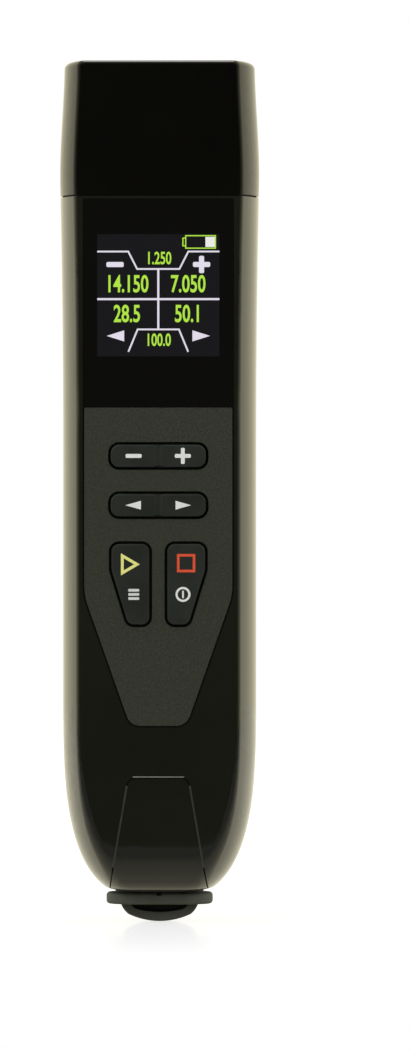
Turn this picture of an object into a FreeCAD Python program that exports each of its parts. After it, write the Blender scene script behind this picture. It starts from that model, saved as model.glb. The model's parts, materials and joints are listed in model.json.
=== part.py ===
"""Handheld stick antenna analyzer, in millimetres.

X is the width, Y the depth with the display side towards -Y, and Z the height.
The origin is under the middle of the pull tab, at the lowest point of the analyzer.
"""
import FreeCAD, Part
import math
import os

Vec = FreeCAD.Vector

# Heights along the stick
TAB_DROP = 3.7           # pull tab, from its lowest point to the plug flange
FLANGE_THICK = 2.4       # plug flange
FLANGE_GAP = 0.25        # shadow gap between the plug flange and the casing
BODY_LENGTH = 145.25     # casing, from its lower end to the cap seam
CAP_SEAM = 0.35          # open line between casing and cap
CAP_HEIGHT = 27.95       # connector cap

# Casing cross-section, at the grip
HALF_WIDTH = 20.27       # at the widest line, mid depth
FRONT_DEPTH = 15.2       # from mid depth to the flat front
BACK_DEPTH = 15.9        # from mid depth to the back, before its flat is skimmed
SIDE_RADIUS = 34.0       # bulge of the side walls
FRONT_CORNER = 1.8       # edge between side wall and front
BACK_CORNER = 5.0        # edge between side wall and back
TOP_FLARE = 0.55         # extra half width at the cap seam
FLARE_LENGTH = 50.0      # height over which the casing flares
BACK_SKIM = 0.15         # depth skimmed off the back to make its resting flat

# Rounded lower end of the casing
ROUND_HEIGHT = 39.65     # height above the lower end where the rounding starts
ROUND_LENGTH = 41.4      # length of the full rounding, if the end were not cut
ROUND_POWER = 3.0        # power of the rounded outline, front view
TOE_HEIGHT = 9.3         # height above the lower end where front and back round in
TOE_LENGTH = 9.9         # length of that rounding, if the end were not cut
TOE_POWER = 2.8          # power of the rounded outline, side view
END_BOW = 0.8            # how far the end face rises from its middle to its sides
END_BOW_HALF = 10.5      # half width over which it rises
CORNER_GROWTH = 3.2      # how much the corners open up towards the end
CORNER_SHARE = 0.8       # largest corner, as a share of the depth it rounds
SIDE_TIGHTENING = 14.0   # how much the side radius shrinks towards the end

# Walls
SIDE_WALL = 2.2          # casing side, back and end walls
FRONT_WALL = 3.0         # casing front wall
END_WALL = 3.6           # casing end wall, round the plug's tunnel
MIN_CORNER = 0.6         # smallest inside corner
LIP_HEIGHT = 1.2         # interlocking lip of the rear shell
SEAM_FIT = 0.08          # clearance of the lip in its rebate
LIP_WALL = 0.8           # thickness of the lip
LIP_STEP = 0.3           # lip's inner face, outside the wall's inner face
LEDGE_HEIGHT = 1.5       # shelf that carries the collar flange
LEDGE_WIDTH = 1.2

# Front pocket for the lens and the keypad panel
PANEL_HALF_WIDTH = 15.4
PANEL_FOOT_HALF = 5.85   # half width of the panel's lower edge
PANEL_HEIGHT = 66.2      # keypad panel, over all
PANEL_TAPER_HEIGHT = 27.1
PANEL_KNEE_RADIUS = 13.0
PANEL_FOOT_RADIUS = 3.0
PANEL_TOP_RADIUS = 0.4
PANEL_GAP = 0.35         # groove round the keypad panel
LENS_HEIGHT = 43.3
LENS_GAP = 0.12
LENS_TOP_MARGIN = 0.6    # casing rim between the lens and the cap seam
LENS_THICK = 1.3
POCKET_DEPTH = 1.5
FLUSH = 0.05             # lens and panel lie this much below the casing front
GASKET_WIDTH = 1.6

# Display
SCREEN_SIDE = 25.4       # square lit area
SCREEN_DROP = 18.8       # from the lens top edge to the middle of the lit area
GLASS_MARGIN_X = 1.0
GLASS_MARGIN_TOP = 1.5
GLASS_MARGIN_FOOT = 4.0
GLASS_THICK = 1.5
GLASS_BEHIND_LENS = 0.25
BACKLIGHT_MARGIN = 0.5
GLASS_FIT = 0.3          # clearance of the display module in its window

# Keys
ROCKER_LENGTH = 19.8
ROCKER_WIDTH = 4.7
ROCKER_CORNER = 1.75
ROCKER_DROP = 10.05      # from the panel's top edge to the upper rocker's middle
ROCKER_PITCH = 10.25     # between the two rockers
VALLEY_HALF = 0.8        # half width of the dip between a rocker's two ends
VALLEY_DEPTH = 0.3
WEDGE_TOP_WIDTH = 7.9    # start and stop keys
WEDGE_FOOT_WIDTH = 4.4
WEDGE_HEIGHT = 16.8
WEDGE_STRAIGHT = 5.4     # height of the wedge key's straight upper part
WEDGE_CORNER = 1.6
WEDGE_INNER_X = 1.85     # from the centre line to the wedge key's straight side
WEDGE_DROP = 28.35       # from the panel's top edge to the wedge keys' top edge
KEY_GAP = 0.55           # between a key and its opening
KEY_PROUD = 0.55         # keys stand above the casing front
KEY_EDGE = 0.45          # rounding of the key tops
ROCKER_EDGE = 0.4        # rounding of the rocker tops
KEY_SKIRT = 0.7          # skirt that keeps a key behind the panel
KEY_STROKE = 0.8
PILL_RADIUS = 0.9
PILL_AT = 6.2            # contact pills of a rocker, from its middle
PILL_CLEAR = 0.1         # left between a pill and the board at full stroke
FULCRUM_RADIUS = 0.55
FULCRUM_LENGTH = 3.6
FULCRUM_FIT = 0.05
ROCKER_SKIRT_HALF = 4.5  # half length of the rocker's skirt
WAIST_DEPTH = 0.35       # how far a rocker narrows at its middle
WAIST_RADIUS = 1.3
WEDGE_SKIRT_FIT = 0.1    # between a wedge key's skirt and the casing wall
ROCKER_SKIRT_FIT = 0.4
BRIDGE_HALF = 1.2        # strip of the mat that a rocker rocks on
MAT_THICK = 1.0
MAT_MARGIN = 2.2
MAT_CLEAR = 0.3          # between a key's skirt and its opening in the mat
DOME_WALL = 0.35
DOME_TOP_RADIUS = 1.5
DOME_FOOT_RADIUS = 2.1

# Main board
BOARD_THICK = 1.6
BOARD_BEHIND_FRONT = 5.6  # from the casing front to the board's front face
BOARD_SIDE_GAP = 2.77    # between the board and the side wall, at the seam's width
BOARD_FOOT = 27.0        # board's lower edge above the casing's lower end
BOARD_TOP_CLEAR = 8.4    # board's upper edge below the cap seam
BOSS_CLEAR = 0.4
POST_RADIUS = 1.7
PILOT_RADIUS = 0.7
BOARD_SCREW_RADIUS = 0.8
BOARD_SCREW_HEAD = 1.6
BOARD_SCREW_HEAD_THICK = 0.9
UPPER_POST_X = 8.0
UPPER_POST_ABOVE_PANEL = 1.4
LOWER_POST_X = 8.4
LOWER_POST_Z = 32.2      # above the casing's lower end
BOARD_SCREW_FIT = 0.1
USB_SCREW_LENGTH = 4.5
SCREW_END_GAP = 0.5      # between a screw's point and the end of its hole
RECESS_SPAN = 1.1        # cross recess, as shares of the head's radius
RECESS_ARM = 0.14
SHIELD_SIDE = 20.0
SHIELD_SCREW_GAP = 1.52  # between the shield's foot and the screw heads under it
SHIELD_THICK = 1.7
SHIELD_WALL = 0.3
SHIELD_BELOW_TOP = 14.0  # shield's upper edge below the board's upper edge
CHIP_SIDE = 8.0
CHIP_THICK = 1.1
CHIP_BELOW_SHIELD = 6.0

# Casing screws
CASE_SCREW_RADIUS = 1.1
CASE_HOLE_RADIUS = 1.3
CASE_HEAD_RADIUS = 2.0
CASE_HEAD_THICK = 1.5
CASE_WELL_RADIUS = 2.3
CASE_PILOT_RADIUS = 1.15
BOSS_RADIUS = 2.5
WELL_WALL = 1.0
SCREW_SEAT = 4.0         # screw head seat behind the parting plane
SCREW_REACH = 6.0        # screw length in front of the parting plane
UPPER_SCREW_X = 14.3
UPPER_SCREW_DROP = 41.5  # below the cap seam
LOWER_SCREW_X = 12.2
LOWER_SCREW_Z = 19.5     # above the casing's lower end

# Collar and connector cap
CAP_TOP_TAPER = 0.95     # half width lost from the cap's bulge to its top
CAP_BULGE = 0.63         # cap's widest half width over the casing's
CAP_BULGE_AT = 5.5       # height of the widest line above the cap's mouth
CAP_MOUTH_TUCK = 0.1
CAP_FRONT = 15.3
CAP_FRONT_TAPER = 0.35
CAP_ROOF = 2.2
CAP_EDGE = 1.3
CAP_FIT = 0.15           # sliding clearance of the cap on the collar
COLLAR_RISE = 8.5        # collar neck above the cap seam
NECK_STEP = 0.8          # collar neck inside its flange, all round
COLLAR_WALL = 1.8
COLLAR_DECK = 3.0
COLLAR_FIT = 0.1
RIM_HEIGHT = 2.5         # casing rim that holds the collar down
COLLAR_FLANGE = 2.5
SEAL_HEIGHT = 1.6
SEAL_DEPTH = 1.0
SEAL_BELOW_DECK = 3.0
SEAL_FIT = 0.05

# Coaxial connector
THREAD_RADIUS = 3.175
THREAD_ROOT = 2.9        # radius under the nut
JACK_RELIEF = 0.3        # the thread root shows this far above the nut
JACK_RISE = 12.0         # above the deck
JACK_HEX = 8.0           # across flats, under the deck
JACK_HEX_THICK = 2.0
JACK_TAIL = 6.0
JACK_TAIL_RADIUS = 2.5
JACK_BORE = 2.05
JACK_FIT = 0.08
JACK_TAPER = 0.4         # chamfer at the thread's start
JACK_FACE_SHY = 0.3      # insulator ends this much below the jack's face
BORE_FIT = 0.02          # round the insulator and round the contact
WASHER_RADIUS = 4.6
WASHER_THICK = 0.5
NUT_HEX = 8.0
NUT_THICK = 2.2
CONTACT_RADIUS = 0.64
CONTACT_BORE = 0.46
CONTACT_BORE_DEPTH = 3.5
CONTACT_SHY = 0.5        # contact ends this much below the jack's face
COAX_RADIUS = 1.1
COAX_LEAD = 3.0          # straight coax at either end
COAX_BEND = 0.45         # share of a straight run that each bend takes
COAX_FIT = 0.1           # between the coax and the board

# Battery
CELL_RADIUS = 9.2
CELL_LENGTH = 65.0
CELL_FIT = 0.1
CELL_BUTTON_RADIUS = 3.2
CELL_BUTTON_RISE = 0.9
CELL_FOOT = 33.0         # cell's lower end above the casing's lower end
CRADLE_FLOOR = 0.7
CRADLE_WALL = 1.3
CRADLE_END = 1.6
CRADLE_RISE = 2.2        # cradle walls reach this far past the cell's axis
CLIP_THICK = 0.5
CLIP_SIDE = 10.0

# USB socket and its board
USB_WIDTH = 8.94
USB_DEPTH = 3.26
USB_LENGTH = 7.3
USB_CORNER = 1.2
USB_WALL = 0.3
USB_RECESS = 3.9         # socket mouth above the casing's lower end
USB_TONGUE_WIDTH = 6.7
USB_TONGUE_THICK = 0.7
USB_TONGUE_SHY = 1.0
USB_BOARD_THICK = 1.0
USB_BOARD_HALF = 8.0
USB_BOARD_LENGTH = 15.0
USB_POST_X = 5.6
USB_POST_FROM_TOP = 2.6

# Dust plug
STEM_HALF_WIDTH = 9.2
STEM_HALF_DEPTH = 4.0
STEM_CORNER = 2.4
STEM_FIT = 0.15
STEM_SHY = 0.3           # stem ends this much short of the socket
FLANGE_HALF_WIDTH = 11.15
FLANGE_HALF_DEPTH = 6.5
FLANGE_EDGE = 0.7
TAB_HALF_WIDTH = 8.27
TAB_DEPTH = 3.6
GRIP_HALF_WIDTH = 6.2    # blind recess for a fingernail, on both faces of the tab
GRIP_DROP = 1.8
GRIP_DEPTH = 1.3
TAB_EDGE = 0.5
TAB_SHOULDER = 0.65      # share of the drop at which the tab's underside starts
TAB_SIDE = 0.79          # share of the half width at which it starts
TAB_BULGE = 0.06        # shares of the drop that place the middle of the side arcs
TAB_WAIST = 0.55
NOTCH_RADIUS = 0.6
NOTCH_LENGTH = 2.5

# Tail insert in the front shell
TONGUE_TOP = 24.0        # above the casing's lower end
TONGUE_TOP_HALF = 6.1
TONGUE_FOOT_HALF = 10.25
TONGUE_CORNER = 1.6
TONGUE_GAP = 0.25
TONGUE_FLANGE = 1.4      # backing flange behind the casing wall
TONGUE_FLANGE_THICK = 1.2
TONGUE_FLANGE_FIT = 0.1

# Places worked out from the sizes above
FLANGE_FOOT = TAB_DROP
FLANGE_TOP = FLANGE_FOOT + FLANGE_THICK
BODY_END = FLANGE_TOP + FLANGE_GAP
BODY_TOP = BODY_END + BODY_LENGTH
CAP_MOUTH = BODY_TOP + CAP_SEAM
CAP_TOP = CAP_MOUTH + CAP_HEIGHT
ROUND_START = BODY_END + ROUND_HEIGHT
TOE_START = BODY_END + TOE_HEIGHT
LENS_TOP = BODY_TOP - LENS_TOP_MARGIN
PANEL_TOP = LENS_TOP - LENS_HEIGHT - LENS_GAP
PANEL_FOOT = PANEL_TOP - PANEL_HEIGHT
PANEL_KNEE = PANEL_FOOT + PANEL_TAPER_HEIGHT
POCKET_FLOOR = -FRONT_DEPTH + POCKET_DEPTH
INNER_FRONT = -FRONT_DEPTH + FRONT_WALL
BOARD_FRONT = -FRONT_DEPTH + BOARD_BEHIND_FRONT
BOARD_BACK = BOARD_FRONT + BOARD_THICK
MAT_TOP = BOARD_FRONT - MAT_THICK
PILL_END = BOARD_FRONT - KEY_STROKE - PILL_CLEAR
KEY_TOP = -FRONT_DEPTH - KEY_PROUD
HINGE_Y = MAT_TOP - FULCRUM_RADIUS - FULCRUM_FIT
KEY_BACK = HINGE_Y
ROCKER_UPPER_Z = PANEL_TOP - ROCKER_DROP
ROCKER_LOWER_Z = ROCKER_UPPER_Z - ROCKER_PITCH
DECK_TOP = BODY_TOP + COLLAR_RISE
DECK_FOOT = DECK_TOP - COLLAR_DECK
COLLAR_FOOT = BODY_TOP - RIM_HEIGHT - COLLAR_FIT - COLLAR_FLANGE
JACK_TOP = DECK_TOP + JACK_RISE
JACK_FOOT = DECK_FOOT - JACK_HEX_THICK - JACK_TAIL
CELL_Y = BACK_DEPTH - SIDE_WALL - CRADLE_FLOOR - CELL_FIT - CELL_RADIUS - BACK_SKIM
USB_MOUTH = BODY_END + USB_RECESS
SCREEN_Z = LENS_TOP - SCREEN_DROP
POCKET_HALF = PANEL_HALF_WIDTH + PANEL_GAP
LENS_HALF = POCKET_HALF - LENS_GAP
GLASS_HALF = SCREEN_SIDE / 2 + GLASS_MARGIN_X
GLASS_TOP = SCREEN_Z + SCREEN_SIDE / 2 + GLASS_MARGIN_TOP
GLASS_FOOT = SCREEN_Z - SCREEN_SIDE / 2 - GLASS_MARGIN_FOOT
GLASS_FRONT = -FRONT_DEPTH + FLUSH + LENS_THICK + GLASS_BEHIND_LENS
BOARD_Z = BODY_END + BOARD_FOOT
BOARD_TOP = BODY_TOP - BOARD_TOP_CLEAR
BACK_FLAT = BACK_DEPTH - BACK_SKIM
INNER_BACK = BACK_DEPTH - SIDE_WALL
WEDGE_TOP_Z = PANEL_TOP - WEDGE_DROP
WEDGE_FOOT_Z = WEDGE_TOP_Z - WEDGE_HEIGHT
CASE_SCREWS = [(UPPER_SCREW_X, BODY_TOP - UPPER_SCREW_DROP), (LOWER_SCREW_X, BODY_END + LOWER_SCREW_Z)]
BOARD_POSTS = [(UPPER_POST_X, PANEL_TOP + UPPER_POST_ABOVE_PANEL), (LOWER_POST_X, BODY_END + LOWER_POST_Z)]
BOARD_HALF_WIDTH = HALF_WIDTH - SIDE_WALL - BOARD_SIDE_GAP
SHIELD_TOP = BOARD_TOP - SHIELD_BELOW_TOP
SHIELD_FOOT = PANEL_TOP + UPPER_POST_ABOVE_PANEL + BOARD_SCREW_HEAD + SHIELD_SCREW_GAP
USB_BOARD_FRONT = USB_DEPTH / 2
USB_BOARD_TOP = USB_MOUTH + USB_BOARD_LENGTH
USB_POST_Z = USB_BOARD_TOP - USB_POST_FROM_TOP
END_EASE = 1.4           # crowds those sections towards the toe
FAR = 400.0              # reach of the blocks that cut right through
TOE_STEPS = 5            # sections through the toe
END_STEPS = 6            # further sections through the rounded end
FLARE_STEPS = 4          # sections through the flare
SIDES = (-1, 1)


# Outlines

def rounded_outline(points, radii):
    """Closed wire through (x, z) corners in the plane y = 0, each corner with its own radius."""
    corners = [Vec(x, 0, z) for x, z in points]
    count = len(corners)
    starts, ends, arcs = [], [], []
    for i, corner in enumerate(corners):
        to_last = (corners[i - 1] - corner).normalize()
        to_next = (corners[(i + 1) % count] - corner).normalize()
        half = to_last.getAngle(to_next) / 2
        reach = radii[i] / math.tan(half)
        starts.append(corner + to_last * reach)
        ends.append(corner + to_next * reach)
        inward = (to_last + to_next).normalize()
        middle = corner + inward * (radii[i] / math.sin(half) - radii[i])
        arcs.append(Part.Arc(starts[i], middle, ends[i]).toShape())
    edges = []
    for i in range(count):
        edges.append(arcs[i])
        following = starts[(i + 1) % count]
        if ends[i].distanceToPoint(following) > 1e-6:
            edges.append(Part.LineSegment(ends[i], following).toShape())
    return Part.Wire(edges)


def rounded_rectangle(half_x, z_low, z_high, radius):
    points = [(-half_x, z_low), (half_x, z_low), (half_x, z_high), (-half_x, z_high)]
    return rounded_outline(points, [radius] * 4)


def slab(wire, y_low, y_high):
    """Solid between two depths on an outline drawn at y = 0."""
    face = Part.Face(wire)
    solid = face.extrude(Vec(0, y_high - y_low, 0))
    solid.translate(Vec(0, y_low, 0))
    return solid


def block(x_low, x_high, y_low, y_high, z_low, z_high):
    return Part.makeBox(x_high - x_low, y_high - y_low, z_high - z_low, Vec(x_low, y_low, z_low))


def rod(radius, x, z, y_low, y_high):
    """Round bar along the depth."""
    return Part.makeCylinder(radius, y_high - y_low, Vec(x, y_low, z), Vec(0, 1, 0))


def mirrored(shape):
    return shape.mirror(Vec(0, 0, 0), Vec(1, 0, 0))


# Casing cross-sections

def end_share(z, inset):
    """How far a height lies into the rounded end: 0 at its start, 1 at its very tip."""
    return max(0.0, (ROUND_START - z) / (ROUND_LENGTH - inset))


def half_width(z, inset):
    share = end_share(z, inset)
    rounding = (1 - share ** ROUND_POWER) ** (1 / ROUND_POWER)
    flare = max(0.0, (z - BODY_TOP + FLARE_LENGTH) / FLARE_LENGTH)
    return (HALF_WIDTH - inset) * rounding + TOP_FLARE * flare ** 2


def cross_section(z, half, front, back, side_radius, front_corner, back_corner):
    """Flat front and back joined by bulged sides, with a tangent arc at each corner."""
    corners = []
    for depth, radius in ((-front, front_corner), (back, back_corner)):
        inward = 1 if depth < 0 else -1
        middle_y = depth + inward * radius
        spread = math.sqrt((side_radius - radius) ** 2 - middle_y ** 2)
        middle = Vec(half - side_radius + spread, middle_y, z)
        side_middle = Vec(half - side_radius, 0, z)
        to_side = (middle - side_middle).normalize()
        on_side = side_middle + to_side * side_radius
        on_face = Vec(middle.x, depth, z)
        between = ((on_side - middle) + (on_face - middle)).normalize()
        corners.append((on_face, middle + between * radius, on_side))
    (front_flat, front_mid, front_side), (back_flat, back_mid, back_side) = corners

    def flip(point):
        return Vec(-point.x, point.y, point.z)

    widest = Vec(half, 0, z)
    edges = [
        Part.LineSegment(flip(front_flat), front_flat).toShape(),
        Part.Arc(front_flat, front_mid, front_side).toShape(),
        Part.Arc(front_side, widest, back_side).toShape(),
        Part.Arc(back_side, back_mid, back_flat).toShape(),
        Part.LineSegment(back_flat, flip(back_flat)).toShape(),
        Part.Arc(flip(back_flat), flip(back_mid), flip(back_side)).toShape(),
        Part.Arc(flip(back_side), flip(widest), flip(front_side)).toShape(),
        Part.Arc(flip(front_side), flip(front_mid), flip(front_flat)).toShape(),
    ]
    return Part.Wire(edges)


def casing_section(z, inset, front_inset):
    toe_share = max(0.0, (TOE_START - z) / (TOE_LENGTH - inset))
    toe_rounding = (1 - toe_share ** TOE_POWER) ** (1 / TOE_POWER)
    opening = end_share(z, inset) ** ROUND_POWER
    side_radius = SIDE_RADIUS - inset - SIDE_TIGHTENING * opening
    front = (FRONT_DEPTH - front_inset) * toe_rounding
    back = (BACK_DEPTH - inset) * toe_rounding
    front_corner = max(MIN_CORNER, FRONT_CORNER - inset) + CORNER_GROWTH * opening
    back_corner = max(MIN_CORNER, BACK_CORNER - inset) + CORNER_GROWTH * opening
    front_corner = min(front_corner, CORNER_SHARE * front)
    back_corner = min(back_corner, CORNER_SHARE * back)
    return cross_section(z, half_width(z, inset), front, back, side_radius, front_corner, back_corner)


def end_heights(z_low, inset):
    """Heights of the end's sections: even steps of angle through the toe, then on to the rounding's start."""
    reach = TOE_LENGTH - inset
    last_angle = math.asin(((TOE_START - z_low) / reach) ** (TOE_POWER / 2))
    heights = []
    for step in range(TOE_STEPS):
        angle = last_angle * (1 - step / TOE_STEPS)
        heights.append(TOE_START - reach * math.sin(angle) ** (2 / TOE_POWER))
    for step in range(END_STEPS + 1):
        heights.append(TOE_START + (ROUND_START - TOE_START) * (step / END_STEPS) ** END_EASE)
    return heights


def casing_form(z_low, inset, front_inset):
    """The whole stick, drawn in by an inset from its outside: a smooth rounded end, a straight grip and a flare."""
    end = [casing_section(z, inset, front_inset) for z in end_heights(z_low, inset)]
    flare_start = BODY_TOP - FLARE_LENGTH
    heights = [ROUND_START] + [flare_start + FLARE_LENGTH * step / FLARE_STEPS for step in range(FLARE_STEPS + 1)]
    grip = [casing_section(z, inset, front_inset) for z in heights]
    return Part.makeLoft(end, True, False).fuse(Part.makeLoft(grip, True, True))


def straight_form(inset, front_inset, z_low, z_high):
    """Prism with the casing's outline at the cap seam, drawn in by an inset."""
    wire = casing_section(BODY_TOP, inset, front_inset)
    solid = Part.Face(wire).extrude(Vec(0, 0, z_high - z_low))
    solid.translate(Vec(0, 0, z_low - BODY_TOP))
    return solid


def stem_form(grow, z_low, z_high):
    """Plug stem, or its tunnel when grown, as a rounded bar along the height."""
    wire = rounded_rectangle(STEM_HALF_WIDTH + grow, -STEM_HALF_DEPTH - grow, STEM_HALF_DEPTH + grow,
                             STEM_CORNER + grow)
    solid = Part.Face(wire).extrude(Vec(0, z_high - z_low, 0))
    solid.rotate(Vec(0, 0, 0), Vec(1, 0, 0), 90)
    solid.translate(Vec(0, 0, z_low))
    return solid


# Outlines on the front

def panel_outline():
    foot, knee, top = PANEL_FOOT, PANEL_KNEE, PANEL_TOP
    points = [(-PANEL_FOOT_HALF, foot), (PANEL_FOOT_HALF, foot), (PANEL_HALF_WIDTH, knee),
              (PANEL_HALF_WIDTH, top), (-PANEL_HALF_WIDTH, top), (-PANEL_HALF_WIDTH, knee)]
    radii = [PANEL_FOOT_RADIUS, PANEL_FOOT_RADIUS, PANEL_KNEE_RADIUS, PANEL_TOP_RADIUS,
             PANEL_TOP_RADIUS, PANEL_KNEE_RADIUS]
    return rounded_outline(points, radii)


def lens_outline(shrink):
    foot = LENS_TOP - LENS_HEIGHT
    return rounded_rectangle(LENS_HALF - shrink, foot + shrink, LENS_TOP - shrink, PANEL_TOP_RADIUS)


def rocker_outline(grow, z_middle):
    half_wide = ROCKER_WIDTH / 2 + grow
    return rounded_rectangle(ROCKER_LENGTH / 2 + grow, z_middle - half_wide, z_middle + half_wide,
                             ROCKER_CORNER + grow)


def wedge_outline(grow, side):
    """Start or stop key: straight inner side, outer side slanting in below its upper part."""
    inner = WEDGE_INNER_X
    points = [(inner, WEDGE_FOOT_Z), (inner, WEDGE_TOP_Z), (inner + WEDGE_TOP_WIDTH, WEDGE_TOP_Z),
              (inner + WEDGE_TOP_WIDTH, WEDGE_TOP_Z - WEDGE_STRAIGHT),
              (inner + WEDGE_FOOT_WIDTH, WEDGE_FOOT_Z)]
    points = [(side * x, z) for x, z in points]
    wire = rounded_outline(points, [WEDGE_CORNER] * len(points))
    return wire.makeOffset2D(grow) if grow else wire


def key_outlines(grow):
    return [rocker_outline(grow, ROCKER_UPPER_Z), rocker_outline(grow, ROCKER_LOWER_Z),
            wedge_outline(grow, -1), wedge_outline(grow, 1)]


def tongue_outline(grow):
    foot = BODY_END - TONGUE_TOP
    top = BODY_END + TONGUE_TOP
    widening = (TONGUE_FOOT_HALF - TONGUE_TOP_HALF) / TONGUE_TOP
    foot_half = TONGUE_TOP_HALF + widening * (top - foot)
    points = [(-foot_half - grow, foot), (foot_half + grow, foot),
              (TONGUE_TOP_HALF + grow, top + grow), (-TONGUE_TOP_HALF - grow, top + grow)]
    corner = TONGUE_CORNER + grow
    return rounded_outline(points, [corner] * 4)


# Casing

def pocket_cut():
    """Front recess for the lens and the keypad panel, with the keys' and the display's windows."""
    front = -FRONT_DEPTH - FLUSH - 1
    cut = slab(rounded_rectangle(POCKET_HALF, PANEL_TOP, LENS_TOP + LENS_GAP, PANEL_TOP_RADIUS), front, POCKET_FLOOR)
    cut = cut.fuse(slab(panel_outline().makeOffset2D(PANEL_GAP), front, POCKET_FLOOR))
    window = rounded_rectangle(GLASS_HALF + GLASS_FIT, GLASS_FOOT - GLASS_FIT, GLASS_TOP + GLASS_FIT, MIN_CORNER)
    cut = cut.fuse(slab(window, front, INNER_FRONT + 1))
    for outline in key_outlines(KEY_GAP):
        cut = cut.fuse(slab(outline, front, INNER_FRONT + 1))
    return cut


def end_bow_cut():
    """What lies below the casing's slightly bowed end face."""
    radius = (END_BOW_HALF ** 2 + END_BOW ** 2) / (2 * END_BOW)
    barrel = rod(radius, 0, BODY_END + radius, -FAR, FAR)
    below = block(-HALF_WIDTH, HALF_WIDTH, -HALF_WIDTH, HALF_WIDTH, BODY_END - 1, TOE_START)
    return below.cut(barrel)


def casing_wall():
    outer = casing_form(BODY_END, 0, 0).cut(end_bow_cut())
    inner = casing_form(BODY_END + END_WALL, SIDE_WALL, FRONT_WALL)
    top = BODY_TOP - RIM_HEIGHT
    inner = inner.cut(block(-FAR, FAR, -FAR, FAR, top, FAR))
    wall = outer.cut(inner)
    wall = wall.cut(straight_form(SIDE_WALL + NECK_STEP - COLLAR_FIT, FRONT_WALL + NECK_STEP - COLLAR_FIT,
                                  top - 1, BODY_TOP + 1))
    wall = wall.cut(block(-FAR, FAR, BACK_FLAT, FAR, -FAR, FAR))
    return wall.cut(stem_form(STEM_FIT, BODY_END - 1, BODY_END + END_WALL + 1)), outer, inner


def ledge(inner):
    """Shelf round the inside that the collar's flange stands on."""
    z_high = COLLAR_FOOT - COLLAR_FIT
    z_low = z_high - LEDGE_HEIGHT
    shelf = straight_form(SIDE_WALL - 1, FRONT_WALL - 1, z_low, z_high)
    shelf = shelf.cut(straight_form(SIDE_WALL + LEDGE_WIDTH, FRONT_WALL + LEDGE_WIDTH, z_low - 1, z_high + 1))
    glass_room = block(-FAR, FAR, -FAR, BOARD_BACK + LEDGE_WIDTH, -FAR, FAR)
    return shelf.cut(glass_room)


def lip_ring(inset_out, inset_in, y_low, y_high):
    """Band that runs round the parting line inside the casing wall."""
    outer = casing_form(BODY_END + END_WALL - LIP_WALL, inset_out, inset_out)
    inner = casing_form(BODY_END + END_WALL, inset_in, inset_in)
    ring = outer.cut(inner)
    z_low = BODY_END + END_WALL + LIP_WALL
    z_high = BODY_TOP - RIM_HEIGHT - LIP_WALL
    return ring.common(block(-FAR, FAR, y_low, y_high, z_low, z_high))


def make_front_shell(wall, inner):
    shell = wall.cut(block(-FAR, FAR, 0, FAR, -FAR, FAR))
    shell = shell.fuse(ledge(inner).common(block(-FAR, FAR, -FAR, 0, -FAR, FAR)))
    for x, z in CASE_SCREWS:
        for side in SIDES:
            boss = rod(BOSS_RADIUS, side * x, z, INNER_FRONT - 1, 0)
            shell = shell.fuse(boss)
    for x, z in BOARD_POSTS:
        for side in SIDES:
            shell = shell.fuse(rod(POST_RADIUS, side * x, z, INNER_FRONT - 1, BOARD_FRONT))
    shell = shell.cut(pocket_cut())
    for x, z in CASE_SCREWS:
        for side in SIDES:
            shell = shell.cut(rod(CASE_PILOT_RADIUS, side * x, z, -SCREW_REACH - 1, 1))
    for x, z in BOARD_POSTS:
        for side in SIDES:
            shell = shell.cut(rod(PILOT_RADIUS + BOARD_SCREW_FIT, side * x, z, INNER_FRONT, BOARD_FRONT + 1))
    rebate = SIDE_WALL - LIP_STEP - LIP_WALL - SEAM_FIT
    shell = shell.cut(lip_ring(rebate, SIDE_WALL + 1, -LIP_HEIGHT - SEAM_FIT, 1))
    for x, z in CASE_SCREWS:
        for side in SIDES:
            shell = shell.fuse(rod(BOSS_RADIUS, side * x, z, -LIP_HEIGHT - 1, 0).cut(
                rod(CASE_PILOT_RADIUS, side * x, z, -LIP_HEIGHT - 2, 1)).common(inner))
    tongue_hole = slab(tongue_outline(TONGUE_GAP), -FAR, -STEM_HALF_DEPTH - STEM_FIT - SIDE_WALL)
    return shell.cut(tongue_hole)


def make_rear_cover(wall, outer, inner):
    shell = wall.common(block(-FAR, FAR, 0, FAR, -FAR, FAR))
    shell = shell.fuse(ledge(inner).common(block(-FAR, FAR, 0, FAR, -FAR, FAR)))
    for x, z in CASE_SCREWS:
        for side in SIDES:
            tube = rod(CASE_WELL_RADIUS + WELL_WALL, side * x, z, 0, FAR)
            shell = shell.fuse(tube.common(outer).cut(block(-FAR, FAR, BACK_FLAT, FAR, -FAR, FAR)))
    for side in SIDES:
        post = rod(POST_RADIUS, side * USB_POST_X, USB_POST_Z, USB_BOARD_FRONT + USB_BOARD_THICK, INNER_BACK + 1)
        shell = shell.fuse(post)
    shell = shell.fuse(lip_ring(SIDE_WALL - LIP_STEP - LIP_WALL, SIDE_WALL - LIP_STEP, -LIP_HEIGHT, LIP_HEIGHT))
    for x, z in CASE_SCREWS:
        for side in SIDES:
            shell = shell.cut(rod(CASE_WELL_RADIUS, side * x, z, SCREW_SEAT, FAR))
            shell = shell.cut(rod(CASE_HOLE_RADIUS, side * x, z, -1, SCREW_SEAT + 1))
            shell = shell.cut(rod(BOSS_RADIUS + SEAM_FIT, side * x, z, -LIP_HEIGHT - 1, 0))
    for side in SIDES:
        y_low = USB_BOARD_FRONT
        y_high = y_low + USB_SCREW_LENGTH + SCREW_END_GAP
        shell = shell.cut(rod(PILOT_RADIUS + BOARD_SCREW_FIT, side * USB_POST_X, USB_POST_Z, y_low, y_high))
    return shell.cut(stem_form(STEM_FIT, BODY_END - 1, BODY_END + END_WALL + 1))


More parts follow.
